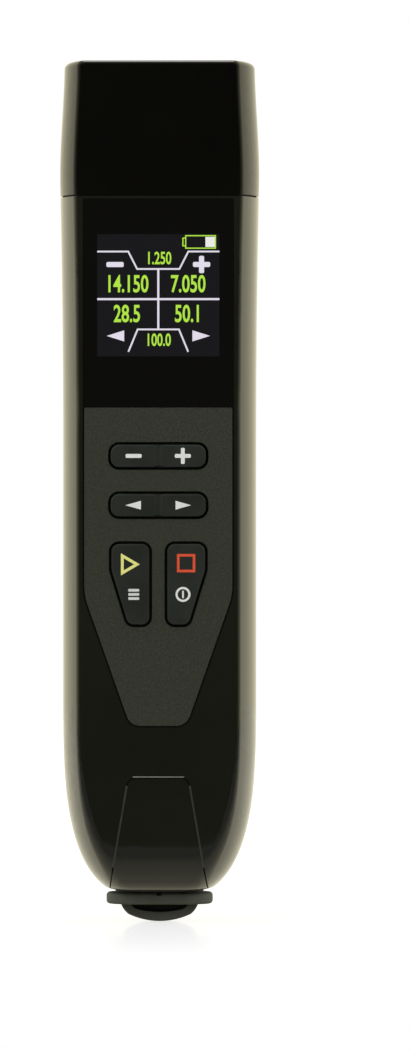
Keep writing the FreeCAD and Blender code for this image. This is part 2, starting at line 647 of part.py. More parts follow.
def make_tail_insert(outer):
    """Flush insert at the foot of the front, held from behind by its own flange."""
    y_end = -STEM_HALF_DEPTH - STEM_FIT - SIDE_WALL - TONGUE_GAP
    behind = FRONT_WALL + TONGUE_FLANGE_FIT
    skin_back = casing_form(BODY_END + END_WALL, SIDE_WALL, behind + TONGUE_FLANGE_THICK)
    insert = outer.common(slab(tongue_outline(0), -FAR, y_end)).cut(skin_back)
    flange = casing_form(BODY_END + END_WALL + TONGUE_FLANGE_FIT, SIDE_WALL + TONGUE_FLANGE_FIT, behind)
    flange = flange.common(slab(tongue_outline(TONGUE_FLANGE), -FAR, y_end)).cut(skin_back)
    return insert.fuse(flange)


# Front pieces

def make_lens():
    front = -FRONT_DEPTH + FLUSH
    return slab(lens_outline(0), front, front + LENS_THICK)


def make_lens_gasket():
    y_low = -FRONT_DEPTH + FLUSH + LENS_THICK
    ring = slab(lens_outline(0), y_low, POCKET_FLOOR)
    inner_top = LENS_TOP - GASKET_WIDTH
    inner_foot = LENS_TOP - LENS_HEIGHT + GASKET_WIDTH
    hole = rounded_rectangle(GLASS_HALF + GLASS_FIT, inner_foot, inner_top, MIN_CORNER)
    return ring.cut(slab(hole, y_low - 1, POCKET_FLOOR + 1))


def make_keypad_panel():
    panel = slab(panel_outline(), -FRONT_DEPTH + FLUSH, POCKET_FLOOR)
    for outline in key_outlines(KEY_GAP):
        panel = panel.cut(slab(outline, -FAR, 0))
    return panel


def soften_front(solid, radius):
    edges = [edge for edge in solid.Edges if abs(edge.BoundBox.YMax - KEY_TOP) < 1e-6]
    return solid.makeFillet(radius, edges)


def make_rocker(z_middle):
    """Key that rocks on a ridge behind its middle, with a dip and a waist between its two ends."""
    key = slab(rocker_outline(0, z_middle), KEY_TOP, KEY_BACK)
    for side in SIDES:
        z_edge = z_middle + side * (ROCKER_WIDTH / 2 + WAIST_RADIUS - WAIST_DEPTH)
        key = key.cut(rod(WAIST_RADIUS, 0, z_edge, KEY_TOP - 1, -FRONT_DEPTH + FLUSH))
    key = soften_front(key, ROCKER_EDGE)
    dip = (VALLEY_HALF ** 2 + VALLEY_DEPTH ** 2) / (2 * VALLEY_DEPTH)
    groove = Part.makeCylinder(dip, 2 * ROCKER_WIDTH, Vec(0, KEY_TOP + VALLEY_DEPTH - dip, z_middle - ROCKER_WIDTH))
    key = key.cut(groove)
    half_wide = ROCKER_WIDTH / 2 + KEY_SKIRT
    skirt = rounded_rectangle(ROCKER_SKIRT_HALF, z_middle - half_wide, z_middle + half_wide, MIN_CORNER)
    key = key.fuse(slab(skirt, INNER_FRONT + ROCKER_SKIRT_FIT, KEY_BACK))
    ridge = Part.makeCylinder(FULCRUM_RADIUS, FULCRUM_LENGTH, Vec(0, HINGE_Y, z_middle - FULCRUM_LENGTH / 2))
    return key.fuse(ridge)


def make_wedge_key(side):
    key = soften_front(slab(wedge_outline(0, side), KEY_TOP, KEY_BACK), KEY_EDGE)
    return key.fuse(slab(wedge_outline(KEY_SKIRT, side), INNER_FRONT + WEDGE_SKIRT_FIT, KEY_BACK))


def make_keypad_mat():
    """Rubber sheet on the board, open under each key, with a strip that each rocker rocks on."""
    z_high = ROCKER_UPPER_Z + ROCKER_WIDTH / 2 + KEY_SKIRT + MAT_MARGIN
    z_low = WEDGE_FOOT_Z - KEY_SKIRT - MAT_MARGIN
    half = ROCKER_LENGTH / 2 + MAT_MARGIN
    mat = slab(rounded_rectangle(half, z_low, z_high, MAT_MARGIN), MAT_TOP, BOARD_FRONT)
    for z_middle in (ROCKER_UPPER_Z, ROCKER_LOWER_Z):
        opening = slab(rocker_outline(KEY_SKIRT + MAT_CLEAR, z_middle), MAT_TOP - 1, BOARD_FRONT + 1)
        opening = opening.cut(block(-BRIDGE_HALF, BRIDGE_HALF, -FAR, 0, -FAR, FAR))
        mat = mat.cut(opening)
    for side in SIDES:
        mat = mat.cut(slab(wedge_outline(KEY_SKIRT + MAT_CLEAR, side), MAT_TOP - 1, BOARD_FRONT + 1))
    return mat


def make_dome(x, z):
    """Hollow rubber dome between a key and the board, with the contact pill under its crown."""
    height = BOARD_FRONT - KEY_BACK
    base = Vec(x, BOARD_FRONT, z)
    forward = Vec(0, -1, 0)
    outside = Part.makeCone(DOME_FOOT_RADIUS, DOME_TOP_RADIUS, height, base, forward)
    inside = Part.makeCone(DOME_FOOT_RADIUS - DOME_WALL, DOME_TOP_RADIUS - DOME_WALL, height - DOME_WALL,
                           base, forward)
    pill = Part.makeCylinder(PILL_RADIUS, PILL_END - KEY_BACK, Vec(x, PILL_END, z), forward)
    return outside.cut(inside).fuse(pill)


def make_rocker_domes(z_middle):
    return Part.makeCompound([make_dome(side * PILL_AT, z_middle) for side in SIDES])


def make_wedge_dome(side):
    x = side * (WEDGE_INNER_X + (WEDGE_TOP_WIDTH + WEDGE_FOOT_WIDTH) / 4)
    return make_dome(x, WEDGE_TOP_Z - WEDGE_HEIGHT / 2)


# Display and electronics

def make_display_glass():
    wire = rounded_rectangle(GLASS_HALF, GLASS_FOOT, GLASS_TOP, PANEL_TOP_RADIUS)
    return slab(wire, GLASS_FRONT, GLASS_FRONT + GLASS_THICK)


def make_display_backlight():
    shrink = BACKLIGHT_MARGIN
    wire = rounded_rectangle(GLASS_HALF - shrink, GLASS_FOOT + shrink, GLASS_TOP - shrink, MIN_CORNER)
    return slab(wire, GLASS_FRONT + GLASS_THICK, BOARD_FRONT)


def make_main_board():
    board = slab(rounded_rectangle(BOARD_HALF_WIDTH, BOARD_Z, BOARD_TOP, FRONT_CORNER), BOARD_FRONT, BOARD_BACK)
    for side in SIDES:
        for x, z in CASE_SCREWS:
            board = board.cut(rod(BOSS_RADIUS + BOSS_CLEAR, side * x, z, BOARD_FRONT - 1, BOARD_BACK + 1))
            edge_room = block(0, FAR, BOARD_FRONT - 1, BOARD_BACK + 1, z - BOSS_RADIUS - BOSS_CLEAR,
                              z + BOSS_RADIUS + BOSS_CLEAR)
            edge_room.translate(Vec(x, 0, 0))
            board = board.cut(edge_room if side > 0 else mirrored(edge_room))
        for x, z in BOARD_POSTS:
            board = board.cut(rod(BOARD_SCREW_RADIUS + BOARD_SCREW_FIT, side * x, z, BOARD_FRONT - 1, BOARD_BACK + 1))
    return board


def make_rf_shield():
    half = SHIELD_SIDE / 2
    can = slab(rounded_rectangle(half, SHIELD_FOOT, SHIELD_TOP, MIN_CORNER), BOARD_BACK, BOARD_BACK + SHIELD_THICK)
    inside = block(-half + SHIELD_WALL, half - SHIELD_WALL, BOARD_BACK - 1, BOARD_BACK + SHIELD_THICK - SHIELD_WALL,
                   SHIELD_FOOT + SHIELD_WALL, SHIELD_TOP - SHIELD_WALL)
    return can.cut(inside)


def make_processor():
    z_high = SHIELD_FOOT - CHIP_BELOW_SHIELD
    return block(-CHIP_SIDE / 2, CHIP_SIDE / 2, BOARD_BACK, BOARD_BACK + CHIP_THICK, z_high - CHIP_SIDE, z_high)


def make_screw(x, z, seat, point, shank_radius, head_radius, head_thick):
    """Cross-recess screw along the depth, with its head behind the seat."""
    head = rod(head_radius, x, z, seat, seat + head_thick)
    slot = head_radius * RECESS_SPAN
    arm = head_radius * RECESS_ARM
    top = seat + head_thick
    recess = block(x - slot / 2, x + slot / 2, top - head_thick / 2, top + 1, z - arm, z + arm)
    recess = recess.fuse(block(x - arm, x + arm, top - head_thick / 2, top + 1, z - slot / 2, z + slot / 2))
    shank = rod(shank_radius, x, z, point, seat)
    return head.cut(recess).fuse(shank)


def make_board_screws():
    screws = []
    for x, z in BOARD_POSTS:
        for side in SIDES:
            screws.append(make_screw(side * x, z, BOARD_BACK, INNER_FRONT + BOARD_SCREW_FIT, PILOT_RADIUS,
                                     BOARD_SCREW_HEAD, BOARD_SCREW_HEAD_THICK))
    return Part.makeCompound(screws)


def make_case_screws():
    screws = []
    for x, z in CASE_SCREWS:
        for side in SIDES:
            screws.append(make_screw(side * x, z, SCREW_SEAT, -SCREW_REACH, CASE_SCREW_RADIUS,
                                     CASE_HEAD_RADIUS, CASE_HEAD_THICK))
    return Part.makeCompound(screws)


# Battery

def make_battery_cell():
    z_low = BODY_END + CELL_FOOT
    cell = Part.makeCylinder(CELL_RADIUS, CELL_LENGTH, Vec(0, CELL_Y, z_low))
    cell = cell.makeFillet(CELL_BUTTON_RISE, [edge for edge in cell.Edges if edge.Closed])
    button = Part.makeCylinder(CELL_BUTTON_RADIUS, CELL_BUTTON_RISE, Vec(0, CELL_Y, z_low + CELL_LENGTH))
    return cell.fuse(button)


def make_battery_cradle():
    """Open tray round the back half of the cell, with an end wall at either end."""
    half = CELL_RADIUS + CELL_FIT + CRADLE_WALL
    z_low = BODY_END + CELL_FOOT - CLIP_THICK - CELL_FIT - CRADLE_END
    z_high = BODY_END + CELL_FOOT + CELL_LENGTH + CELL_BUTTON_RISE + CLIP_THICK + CELL_FIT + CRADLE_END
    back = CELL_Y + CELL_RADIUS + CELL_FIT + CRADLE_FLOOR
    tray = block(-half, half, CELL_Y - CRADLE_RISE, back, z_low, z_high)
    seat = Part.makeCylinder(CELL_RADIUS + CELL_FIT, z_high - z_low - 2 * CRADLE_END, Vec(0, CELL_Y, z_low + CRADLE_END))
    mouth = block(-CELL_RADIUS - CELL_FIT, CELL_RADIUS + CELL_FIT, CELL_Y - CRADLE_RISE - 1, CELL_Y,
                  z_low + CRADLE_END, z_high - CRADLE_END)
    return tray.cut(seat.fuse(mouth))


def make_battery_clips():
    clips = []
    cell_low = BODY_END + CELL_FOOT
    cell_high = cell_low + CELL_LENGTH + CELL_BUTTON_RISE
    for z_low in (cell_low - CLIP_THICK - CELL_FIT / 2, cell_high + CELL_FIT / 2):
        clips.append(block(-CLIP_SIDE / 2, CLIP_SIDE / 2, CELL_Y - CRADLE_RISE, CELL_Y + CLIP_SIDE / 2,
                           z_low, z_low + CLIP_THICK))
    return Part.makeCompound(clips)


# USB socket

def usb_outline_solid(shrink, z_low, z_high):
    wire = rounded_rectangle(USB_WIDTH / 2 - shrink, -USB_DEPTH / 2 + shrink, USB_DEPTH / 2 - shrink,
                             USB_CORNER - shrink)
    solid = Part.Face(wire).extrude(Vec(0, z_high - z_low, 0))
    solid.rotate(Vec(0, 0, 0), Vec(1, 0, 0), 90)
    solid.translate(Vec(0, 0, z_low))
    return solid


def make_usb_socket():
    shell = usb_outline_solid(0, USB_MOUTH, USB_MOUTH + USB_LENGTH)
    return shell.cut(usb_outline_solid(USB_WALL, USB_MOUTH - 1, USB_MOUTH + USB_LENGTH - USB_WALL))


def make_usb_tongue():
    half = USB_TONGUE_WIDTH / 2
    return block(-half, half, -USB_TONGUE_THICK / 2, USB_TONGUE_THICK / 2, USB_MOUTH + USB_TONGUE_SHY,
                 USB_MOUTH + USB_LENGTH - USB_WALL)


def make_usb_board():
    z_low = USB_MOUTH
    wire = rounded_rectangle(USB_BOARD_HALF, z_low, USB_BOARD_TOP, MIN_CORNER)
    board = slab(wire, USB_BOARD_FRONT, USB_BOARD_FRONT + USB_BOARD_THICK)
    for side in SIDES:
        board = board.cut(rod(BOARD_SCREW_RADIUS + BOARD_SCREW_FIT, side * USB_POST_X, USB_POST_Z, 0, FAR))
    return board


def make_usb_screws():
    """Two screws from the front through the socket board into the rear cover's posts."""
    screws = []
    for side in SIDES:
        screw = make_screw(side * USB_POST_X, USB_POST_Z, 0, -USB_SCREW_LENGTH, PILOT_RADIUS, BOARD_SCREW_HEAD,
                           BOARD_SCREW_HEAD_THICK)
        screw = screw.mirror(Vec(0, 0, 0), Vec(0, 1, 0))
        screw.translate(Vec(0, USB_BOARD_FRONT, 0))
        screws.append(screw)
    return Part.makeCompound(screws)


# Collar, cap and coaxial connector

def make_collar():
    """Ring clamped between the two casing halves, with the neck the cap slides on and the connector's deck."""
    flange_top = COLLAR_FOOT + COLLAR_FLANGE
    flange = straight_form(SIDE_WALL + COLLAR_FIT + TOP_FLARE, FRONT_WALL + COLLAR_FIT, COLLAR_FOOT, flange_top)
    neck = straight_form(SIDE_WALL + NECK_STEP, FRONT_WALL + NECK_STEP, COLLAR_FOOT, DECK_TOP)
    hollow = straight_form(SIDE_WALL + NECK_STEP + COLLAR_WALL, FRONT_WALL + NECK_STEP + COLLAR_WALL,
                           COLLAR_FOOT - 1, DECK_FOOT)
    collar = flange.fuse(neck).cut(hollow)
    seat = DECK_TOP - SEAL_BELOW_DECK
    band = straight_form(0, 0, seat - SEAL_HEIGHT, seat)
    band = band.cut(straight_form(SIDE_WALL + NECK_STEP + SEAL_DEPTH, FRONT_WALL + NECK_STEP + SEAL_DEPTH,
                                  seat - SEAL_HEIGHT - 1, seat + 1))
    hole = Part.makeCylinder(THREAD_RADIUS + JACK_FIT, 2 * COLLAR_DECK, Vec(0, 0, DECK_FOOT - 1))
    return collar.cut(band).cut(hole)


def make_cap_seal():
    seat = DECK_TOP - SEAL_BELOW_DECK
    inset = NECK_STEP - CAP_FIT + SEAL_FIT
    ring = straight_form(SIDE_WALL + inset, FRONT_WALL + inset, seat - SEAL_HEIGHT + SEAL_FIT, seat - SEAL_FIT)
    deep = NECK_STEP + SEAL_DEPTH - SEAL_FIT
    return ring.cut(straight_form(SIDE_WALL + deep, FRONT_WALL + deep, seat - SEAL_HEIGHT - 1, seat + 1))


def cap_section(z, grow, front):
    return cross_section(z, HALF_WIDTH + grow, front, BACK_FLAT, SIDE_RADIUS, FRONT_CORNER, BACK_CORNER)


def make_cap():
    """Deep cover over the connector: widest near its mouth, narrowing a little towards its top."""
    bulge = CAP_MOUTH + CAP_BULGE_AT
    middle = (bulge + CAP_TOP) / 2
    top_grow = CAP_BULGE - CAP_TOP_TAPER
    sections = [cap_section(CAP_MOUTH, CAP_BULGE - CAP_MOUTH_TUCK, FRONT_DEPTH),
                cap_section(bulge, CAP_BULGE, CAP_FRONT),
                cap_section(middle, (CAP_BULGE + top_grow) / 2, CAP_FRONT - CAP_FRONT_TAPER / 3),
                cap_section(CAP_TOP, top_grow, CAP_FRONT - CAP_FRONT_TAPER)]
    cap = Part.makeLoft(sections, True, False)
    top_edges = [edge for edge in cap.Edges if edge.BoundBox.ZMin > CAP_TOP - 1e-3]
    cap = cap.makeFillet(CAP_EDGE, top_edges)
    inset = NECK_STEP - CAP_FIT
    return cap.cut(straight_form(SIDE_WALL + inset, FRONT_WALL + inset, CAP_MOUTH - 1, CAP_TOP - CAP_ROOF))


def hexagon(across_flats, z_low, z_high):
    circle = across_flats / math.sqrt(3)
    points = [Vec(circle * math.cos(math.radians(60 * k)), circle * math.sin(math.radians(60 * k)), z_low)
              for k in range(7)]
    return Part.Face(Part.makePolygon(points)).extrude(Vec(0, 0, z_high - z_low))


def make_rf_jack():
    """Threaded coaxial jack, put through the deck from below against its own hexagon."""
    thread_foot = DECK_TOP + WASHER_THICK + NUT_THICK + JACK_RELIEF
    jack = Part.makeCylinder(THREAD_RADIUS, JACK_TOP - thread_foot, Vec(0, 0, thread_foot))
    mouth = [edge for edge in jack.Edges if edge.BoundBox.ZMin > JACK_TOP - 1e-3]
    jack = jack.makeChamfer(JACK_TAPER, mouth)
    jack = jack.fuse(Part.makeCylinder(THREAD_ROOT, JACK_TOP - JACK_TAPER - DECK_FOOT, Vec(0, 0, DECK_FOOT)))
    jack = jack.fuse(hexagon(JACK_HEX, DECK_FOOT - JACK_HEX_THICK, DECK_FOOT))
    jack = jack.fuse(Part.makeCylinder(JACK_TAIL_RADIUS, JACK_TAIL, Vec(0, 0, JACK_FOOT)))
    return jack.cut(Part.makeCylinder(JACK_BORE, JACK_TOP - JACK_FOOT + 2, Vec(0, 0, JACK_FOOT - 1)))


def make_rf_insulator():
    length = JACK_TOP - JACK_FOOT - JACK_FACE_SHY
    insulator = Part.makeCylinder(JACK_BORE - BORE_FIT, length, Vec(0, 0, JACK_FOOT))
    return insulator.cut(Part.makeCylinder(CONTACT_RADIUS + BORE_FIT, length + 2, Vec(0, 0, JACK_FOOT - 1)))


def make_rf_contact():
    top = JACK_TOP - CONTACT_SHY
    contact = Part.makeCylinder(CONTACT_RADIUS, top - JACK_FOOT, Vec(0, 0, JACK_FOOT))
    return contact.cut(Part.makeCylinder(CONTACT_BORE, CONTACT_BORE_DEPTH + 1, Vec(0, 0, top - CONTACT_BORE_DEPTH)))


def make_jack_washer():
    washer = Part.makeCylinder(WASHER_RADIUS, WASHER_THICK, Vec(0, 0, DECK_TOP))
    return washer.cut(Part.makeCylinder(THREAD_RADIUS + JACK_FIT, 2, Vec(0, 0, DECK_TOP - 1)))


def make_jack_nut():
    z_low = DECK_TOP + WASHER_THICK
    nut = hexagon(NUT_HEX, z_low, z_low + NUT_THICK)
    cone = Part.makeCone(NUT_HEX / 2 + NUT_THICK, NUT_HEX / 2, NUT_THICK, Vec(0, 0, z_low))
    return nut.common(cone).cut(Part.makeCylinder(THREAD_ROOT + JACK_FIT, NUT_THICK + 2, Vec(0, 0, z_low - 1)))


def make_coax_lead():
    """Lead from the jack's tail down to the shield's top edge, on straight runs joined by arcs."""
    y_end = BOARD_BACK + COAX_RADIUS + COAX_FIT
    top = Vec(0, 0, JACK_FOOT)
    first = Vec(0, 0, JACK_FOOT - COAX_LEAD)
    second = Vec(0, y_end, SHIELD_TOP + COAX_LEAD)
    foot = Vec(0, y_end, SHIELD_TOP)
    runs = [top, first, second, foot]
    edges = []
    last = top
    for before, corner, after in zip(runs, runs[1:], runs[2:]):
        reach = COAX_BEND * min(before.distanceToPoint(corner), corner.distanceToPoint(after))
        back = (before - corner).normalize()
        onward = (after - corner).normalize()
        half = back.getAngle(onward) / 2
        radius = reach * math.tan(half)
        middle = corner + (back + onward).normalize() * (radius / math.sin(half) - radius)
        start = corner + back * reach
        finish = corner + onward * reach
        edges.append(Part.LineSegment(last, start).toShape())
        edges.append(Part.Arc(start, middle, finish).toShape())
        last = finish
    edges.append(Part.LineSegment(last, foot).toShape())
    ring = Part.Wire(Part.makeCircle(COAX_RADIUS, top, Vec(0, 0, -1)))
    return Part.Wire(edges).makePipeShell([ring], True, False)


# Dust plug

def make_dust_plug():
    """Stem for the tunnel, a rounded flange with a nail notch, and the pull tab under it."""
    stem = stem_form(0, FLANGE_TOP - FLANGE_THICK / 2, USB_MOUTH - STEM_SHY)
    wire = rounded_rectangle(FLANGE_HALF_WIDTH, -FLANGE_HALF_DEPTH, FLANGE_HALF_DEPTH, FLANGE_HALF_DEPTH - FLANGE_EDGE)
    flange = Part.Face(wire).extrude(Vec(0, FLANGE_THICK, 0))
    flange.rotate(Vec(0, 0, 0), Vec(1, 0, 0), 90)
    flange.translate(Vec(0, 0, FLANGE_FOOT))
    rims = [edge for edge in flange.Edges
            if edge.BoundBox.ZLength < 1e-6]
    flange = flange.makeFillet(FLANGE_EDGE, rims)
    notch = Part.makeCylinder(NOTCH_RADIUS, NOTCH_LENGTH + 1, Vec(0, -FLANGE_HALF_DEPTH - 1, FLANGE_TOP), Vec(0, 1, 0))
    return flange.cut(notch).fuse(stem).fuse(make_pull_tab())


def tab_outline(half, drop, top):
    """Flat on top, and round underneath through arcs of two sizes."""
    corner_drop = drop * TAB_SHOULDER
    side_x = half * TAB_SIDE
    low_left = Vec(-side_x, 0, top - corner_drop)
    low_right = Vec(side_x, 0, top - corner_drop)
    lowest = Vec(0, 0, top - drop)
    waist_x = half * (1 + TAB_SIDE) / 2 + drop * TAB_BULGE
    waist_z = top - corner_drop * TAB_WAIST
    edges = [Part.LineSegment(Vec(half, 0, top), Vec(-half, 0, top)).toShape(),
             Part.Arc(Vec(-half, 0, top), Vec(-waist_x, 0, waist_z), low_left).toShape(),
             Part.Arc(low_left, lowest, low_right).toShape(),
             Part.Arc(low_right, Vec(waist_x, 0, waist_z), Vec(half, 0, top)).toShape()]
    return Part.Wire(edges)


def make_pull_tab():
    top = FLANGE_FOOT + TAB_EDGE
    outer = slab(tab_outline(TAB_HALF_WIDTH, TAB_DROP + TAB_EDGE, top), -TAB_DEPTH / 2, TAB_DEPTH / 2)
    rims = [edge for edge in outer.Edges
            if edge.BoundBox.YLength < 1e-6 and edge.BoundBox.ZMax < top - 1e-3 or
            edge.BoundBox.YLength < 1e-6 and edge.BoundBox.ZLength > 1e-3]
    outer = outer.makeFillet(TAB_EDGE, rims)
    wire = tab_outline(GRIP_HALF_WIDTH, GRIP_DROP, FLANGE_FOOT)
    front_grip = slab(wire, -TAB_DEPTH, GRIP_DEPTH - TAB_DEPTH / 2)
    back_grip = slab(wire, TAB_DEPTH / 2 - GRIP_DEPTH, TAB_DEPTH)
    return outer.cut(front_grip).cut(back_grip)


def main():
    wall, outer, inner = casing_wall()
    pieces = {
        "front_shell": make_front_shell(wall, inner),
        "rear_cover": make_rear_cover(wall, outer, inner),
        "tail_insert": make_tail_insert(outer),
        "collar": make_collar(),
        "cap_seal": make_cap_seal(),
        "connector_cap": make_cap(),
        "display_lens": make_lens(),
        "lens_gasket": make_lens_gasket(),
        "display_glass": make_display_glass(),
        "display_backlight": make_display_backlight(),
        "keypad_panel": make_keypad_panel(),
        "minus_plus_key": make_rocker(ROCKER_UPPER_Z),
        "left_right_key": make_rocker(ROCKER_LOWER_Z),
        "start_key": make_wedge_key(-1),
        "stop_key": make_wedge_key(1),
        "keypad_mat": make_keypad_mat(),
        "minus_plus_domes": make_rocker_domes(ROCKER_UPPER_Z),
        "left_right_domes": make_rocker_domes(ROCKER_LOWER_Z),
        "start_dome": make_wedge_dome(-1),
        "stop_dome": make_wedge_dome(1),
        "main_board": make_main_board(),
        "rf_shield": make_rf_shield(),
        "processor": make_processor(),
        "board_screws": make_board_screws(),
        "case_screws": make_case_screws(),
        "rf_jack": make_rf_jack(),
        "rf_insulator": make_rf_insulator(),
        "rf_contact": make_rf_contact(),
        "jack_washer": make_jack_washer(),
        "jack_nut": make_jack_nut(),
        "coax_lead": make_coax_lead(),
        "battery_cell": make_battery_cell(),
        "battery_cradle": make_battery_cradle(),
        "battery_clips": make_battery_clips(),
        "usb_socket": make_usb_socket(),
        "usb_tongue": make_usb_tongue(),
        "usb_board": make_usb_board(),
        "usb_screws": make_usb_screws(),
        "dust_plug": make_dust_plug(),
    }
    os.makedirs("parts", exist_ok=True)
    for name, shape in pieces.items():
        shape.exportStep(f"parts/{name}.step")
        box = shape.BoundBox
        print(f"{name:18s} valid={shape.isValid()} solids={len(shape.Solids)} volume={shape.Volume:9.1f}"
              f" x {box.XMin:7.2f} {box.XMax:7.2f} y {box.YMin:7.2f} {box.YMax:7.2f}"
              f" z {box.ZMin:7.2f} {box.ZMax:7.2f}")


main()
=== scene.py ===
import json
import math

import bpy
import numpy as np
from mathutils import Matrix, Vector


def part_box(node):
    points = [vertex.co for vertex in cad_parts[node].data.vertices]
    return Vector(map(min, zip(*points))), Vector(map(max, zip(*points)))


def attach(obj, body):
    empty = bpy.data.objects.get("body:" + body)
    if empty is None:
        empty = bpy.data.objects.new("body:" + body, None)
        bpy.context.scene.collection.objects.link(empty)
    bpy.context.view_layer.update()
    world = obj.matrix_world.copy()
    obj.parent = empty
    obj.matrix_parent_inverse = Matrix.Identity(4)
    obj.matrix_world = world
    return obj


# A stick antenna analyzer: a black gloss casing with a capped jack at its head, a lit square display,
# symbol keys on a grained plate and a rubber plug at its foot. Sizes are in millimetres until MM turns them.

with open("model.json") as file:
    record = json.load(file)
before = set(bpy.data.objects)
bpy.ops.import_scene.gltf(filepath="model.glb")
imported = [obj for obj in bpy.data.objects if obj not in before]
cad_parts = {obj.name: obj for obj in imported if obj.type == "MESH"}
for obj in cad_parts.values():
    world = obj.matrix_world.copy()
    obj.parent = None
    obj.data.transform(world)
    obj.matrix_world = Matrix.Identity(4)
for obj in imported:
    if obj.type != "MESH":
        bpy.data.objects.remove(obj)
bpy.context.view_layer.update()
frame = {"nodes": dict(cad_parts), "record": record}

MM = 0.001

# The photograph's view
CAMERA_AWAY = 1.6                 # metres from the stick's axis
CAMERA_HEIGHT = 90.4 * MM
CAMERA_TURN = math.radians(1.1)   # towards +X
SENSOR = 36.0
VIEW_HEIGHT = 220.3 * MM          # what the frame takes in at the axis
SHIFT_X = 0.0432
SHIFT_Y = -0.0327

# Printed and lit marks stand this far out of what carries them
INK = 0.008
PRINT_DEPTH = 0.03


def box_mm(node):
    """Lowest and highest corner of a CAD node, in millimetres."""
    low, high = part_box(node)
    return np.array(low) / MM, np.array(high) / MM


def centre_mm(node):
    """Middle of a CAD node's box, in millimetres."""
    low, high = box_mm(node)
    return (low + high) / 2


# Colour and nodes

def linear(hex_text):
    """An sRGB hex colour as linear RGBA."""
    parts = [int(hex_text[i:i + 2], 16) / 255 for i in (1, 3, 5)]
    return [c / 12.92 if c <= 0.04045 else ((c + 0.055) / 1.055) ** 2.4 for c in parts] + [1.0]


def per_size(size_mm):
    """Texture scale at which one cell is about size_mm wide on Object coordinates."""
    return 1 / (size_mm * MM)


def add(tree, kind, inputs=None, **settings):
    """Adds a node, sets its settings, and gives each named input a value or a link from a socket."""
    node = tree.nodes.new(kind)
    for name, value in settings.items():
        setattr(node, name, value)
    for name, value in (inputs or {}).items():
        if isinstance(value, bpy.types.NodeSocket):
            tree.links.new(value, node.inputs[name])
        else:
            node.inputs[name].default_value = value
    return node


def ramp(tree, factor, stops):
    """A colour ramp from factor, with a stop at each (place, hex colour)."""
    node = add(tree, "ShaderNodeValToRGB", {"Fac": factor})
    elements = node.color_ramp.elements
    elements[0].position, elements[0].color = stops[0][0], linear(stops[0][1])
    elements[1].position, elements[1].color = stops[-1][0], linear(stops[-1][1])
    for place, hex_text in stops[1:-1]:
        elements.new(place).color = linear(hex_text)
    return node.outputs["Color"]


def blank_material(name):
    """An empty node material with its output, and the Object coordinates that its patterns read."""
    material = bpy.data.materials.new(name)
    material.use_nodes = True
    tree = material.node_tree
    tree.nodes.clear()
    output = add(tree, "ShaderNodeOutputMaterial")
    place = add(tree, "ShaderNodeTexCoord").outputs["Object"]
    return material, tree, output, place


def finish_material(tree, output, surface):
    tree.links.new(surface.outputs[0], output.inputs["Surface"])


def patchy(tree, place, low, high, patch, rough, detail):
    """Two close colours in soft noise patches, and a roughness that drifts between two values over them."""
    patches = add(tree, "ShaderNodeTexNoise", {"Vector": place, "Scale": per_size(patch), "Detail": detail})
    tint = ramp(tree, patches.outputs["Fac"], [(TINT_LOW, low), (TINT_HIGH, high)])
    drift = add(tree, "ShaderNodeMapRange", {
        "Value": patches.outputs["Fac"], "From Min": DRIFT_LOW, "From Max": DRIFT_HIGH,
        "To Min": rough[0], "To Max": rough[1]})
    return tint, drift.outputs["Result"]


def moulded(name, low, high, patch, rough, grain, depth, settings=None):
    """A plastic or rubber surface: patches of two colours and a fine grain, whose size and depth are in
    millimetres. settings replaces or adds shader inputs."""
    material, tree, output, place = blank_material(name)
    tint, roughness = patchy(tree, place, low, high, patch, rough, 4.0)
    fine = add(tree, "ShaderNodeTexNoise", {"Vector": place, "Scale": per_size(grain), "Detail": 2.0})
    bump = add(tree, "ShaderNodeBump", {
        "Height": fine.outputs["Fac"], "Distance": depth * MM, "Strength": 1.0})
    inputs = {"Base Color": tint, "Roughness": roughness, "Normal": bump.outputs["Normal"],
              "IOR": PLASTIC_IOR}
    inputs.update(settings or {})
    finish_material(tree, output, add(tree, "ShaderNodeBsdfPrincipled", inputs))
    return material


def metal(name, low, high, patch, rough, scratch, depth):
    """A plated or bare metal: patches of two colours, and scratches drawn out along the depth."""
    material, tree, output, place = blank_material(name)
    tint, roughness = patchy(tree, place, low, high, patch, rough, 3.0)
    stretched = add(tree, "ShaderNodeMapping", {"Vector": place, "Scale": (1.0, SCRATCH_STRETCH, 1.0)})
    lines = add(tree, "ShaderNodeTexNoise", {
        "Vector": stretched.outputs["Vector"], "Scale": per_size(scratch)})
    bump = add(tree, "ShaderNodeBump", {
        "Height": lines.outputs["Fac"], "Distance": depth * MM, "Strength": 1.0})
    inputs = {"Base Color": tint, "Metallic": 1.0, "Roughness": roughness, "Normal": bump.outputs["Normal"]}
    finish_material(tree, output, add(tree, "ShaderNodeBsdfPrincipled", inputs))
    return material


def lit(name, hex_text):
    """A display element: light of one colour with the faint cells of a square pixel grid in it."""
    material, tree, output, place = blank_material(name)
    cells = add(tree, "ShaderNodeTexChecker", {"Vector": place, "Scale": per_size(PIXEL)})
    dimmed = [channel * PIXEL_DIM for channel in linear(hex_text)[:3]] + [1.0]
    tint = add(tree, "ShaderNodeMix", {"Factor": cells.outputs["Fac"], "A": linear(hex_text), "B": dimmed},
               data_type="RGBA")
    surface = add(tree, "ShaderNodeEmission", {"Color": tint.outputs["Result"], "Strength": 1.0})
    finish_material(tree, output, surface)
    return material


TINT_LOW, TINT_HIGH = 0.35, 0.65     # noise values that show a patch's two colours
DRIFT_LOW, DRIFT_HIGH = 0.3, 0.7     # noise values at a patch's two roughnesses
PLASTIC_IOR = 1.5
SCRATCH_STRETCH = 0.2                # texture scale along the depth
PIXEL = 0.11                         # display pixel, in millimetres
PIXEL_DIM = 0.82                     # light of every other pixel


# Meshes: outlines are arrays of (x, z) in millimetres, seen from the front

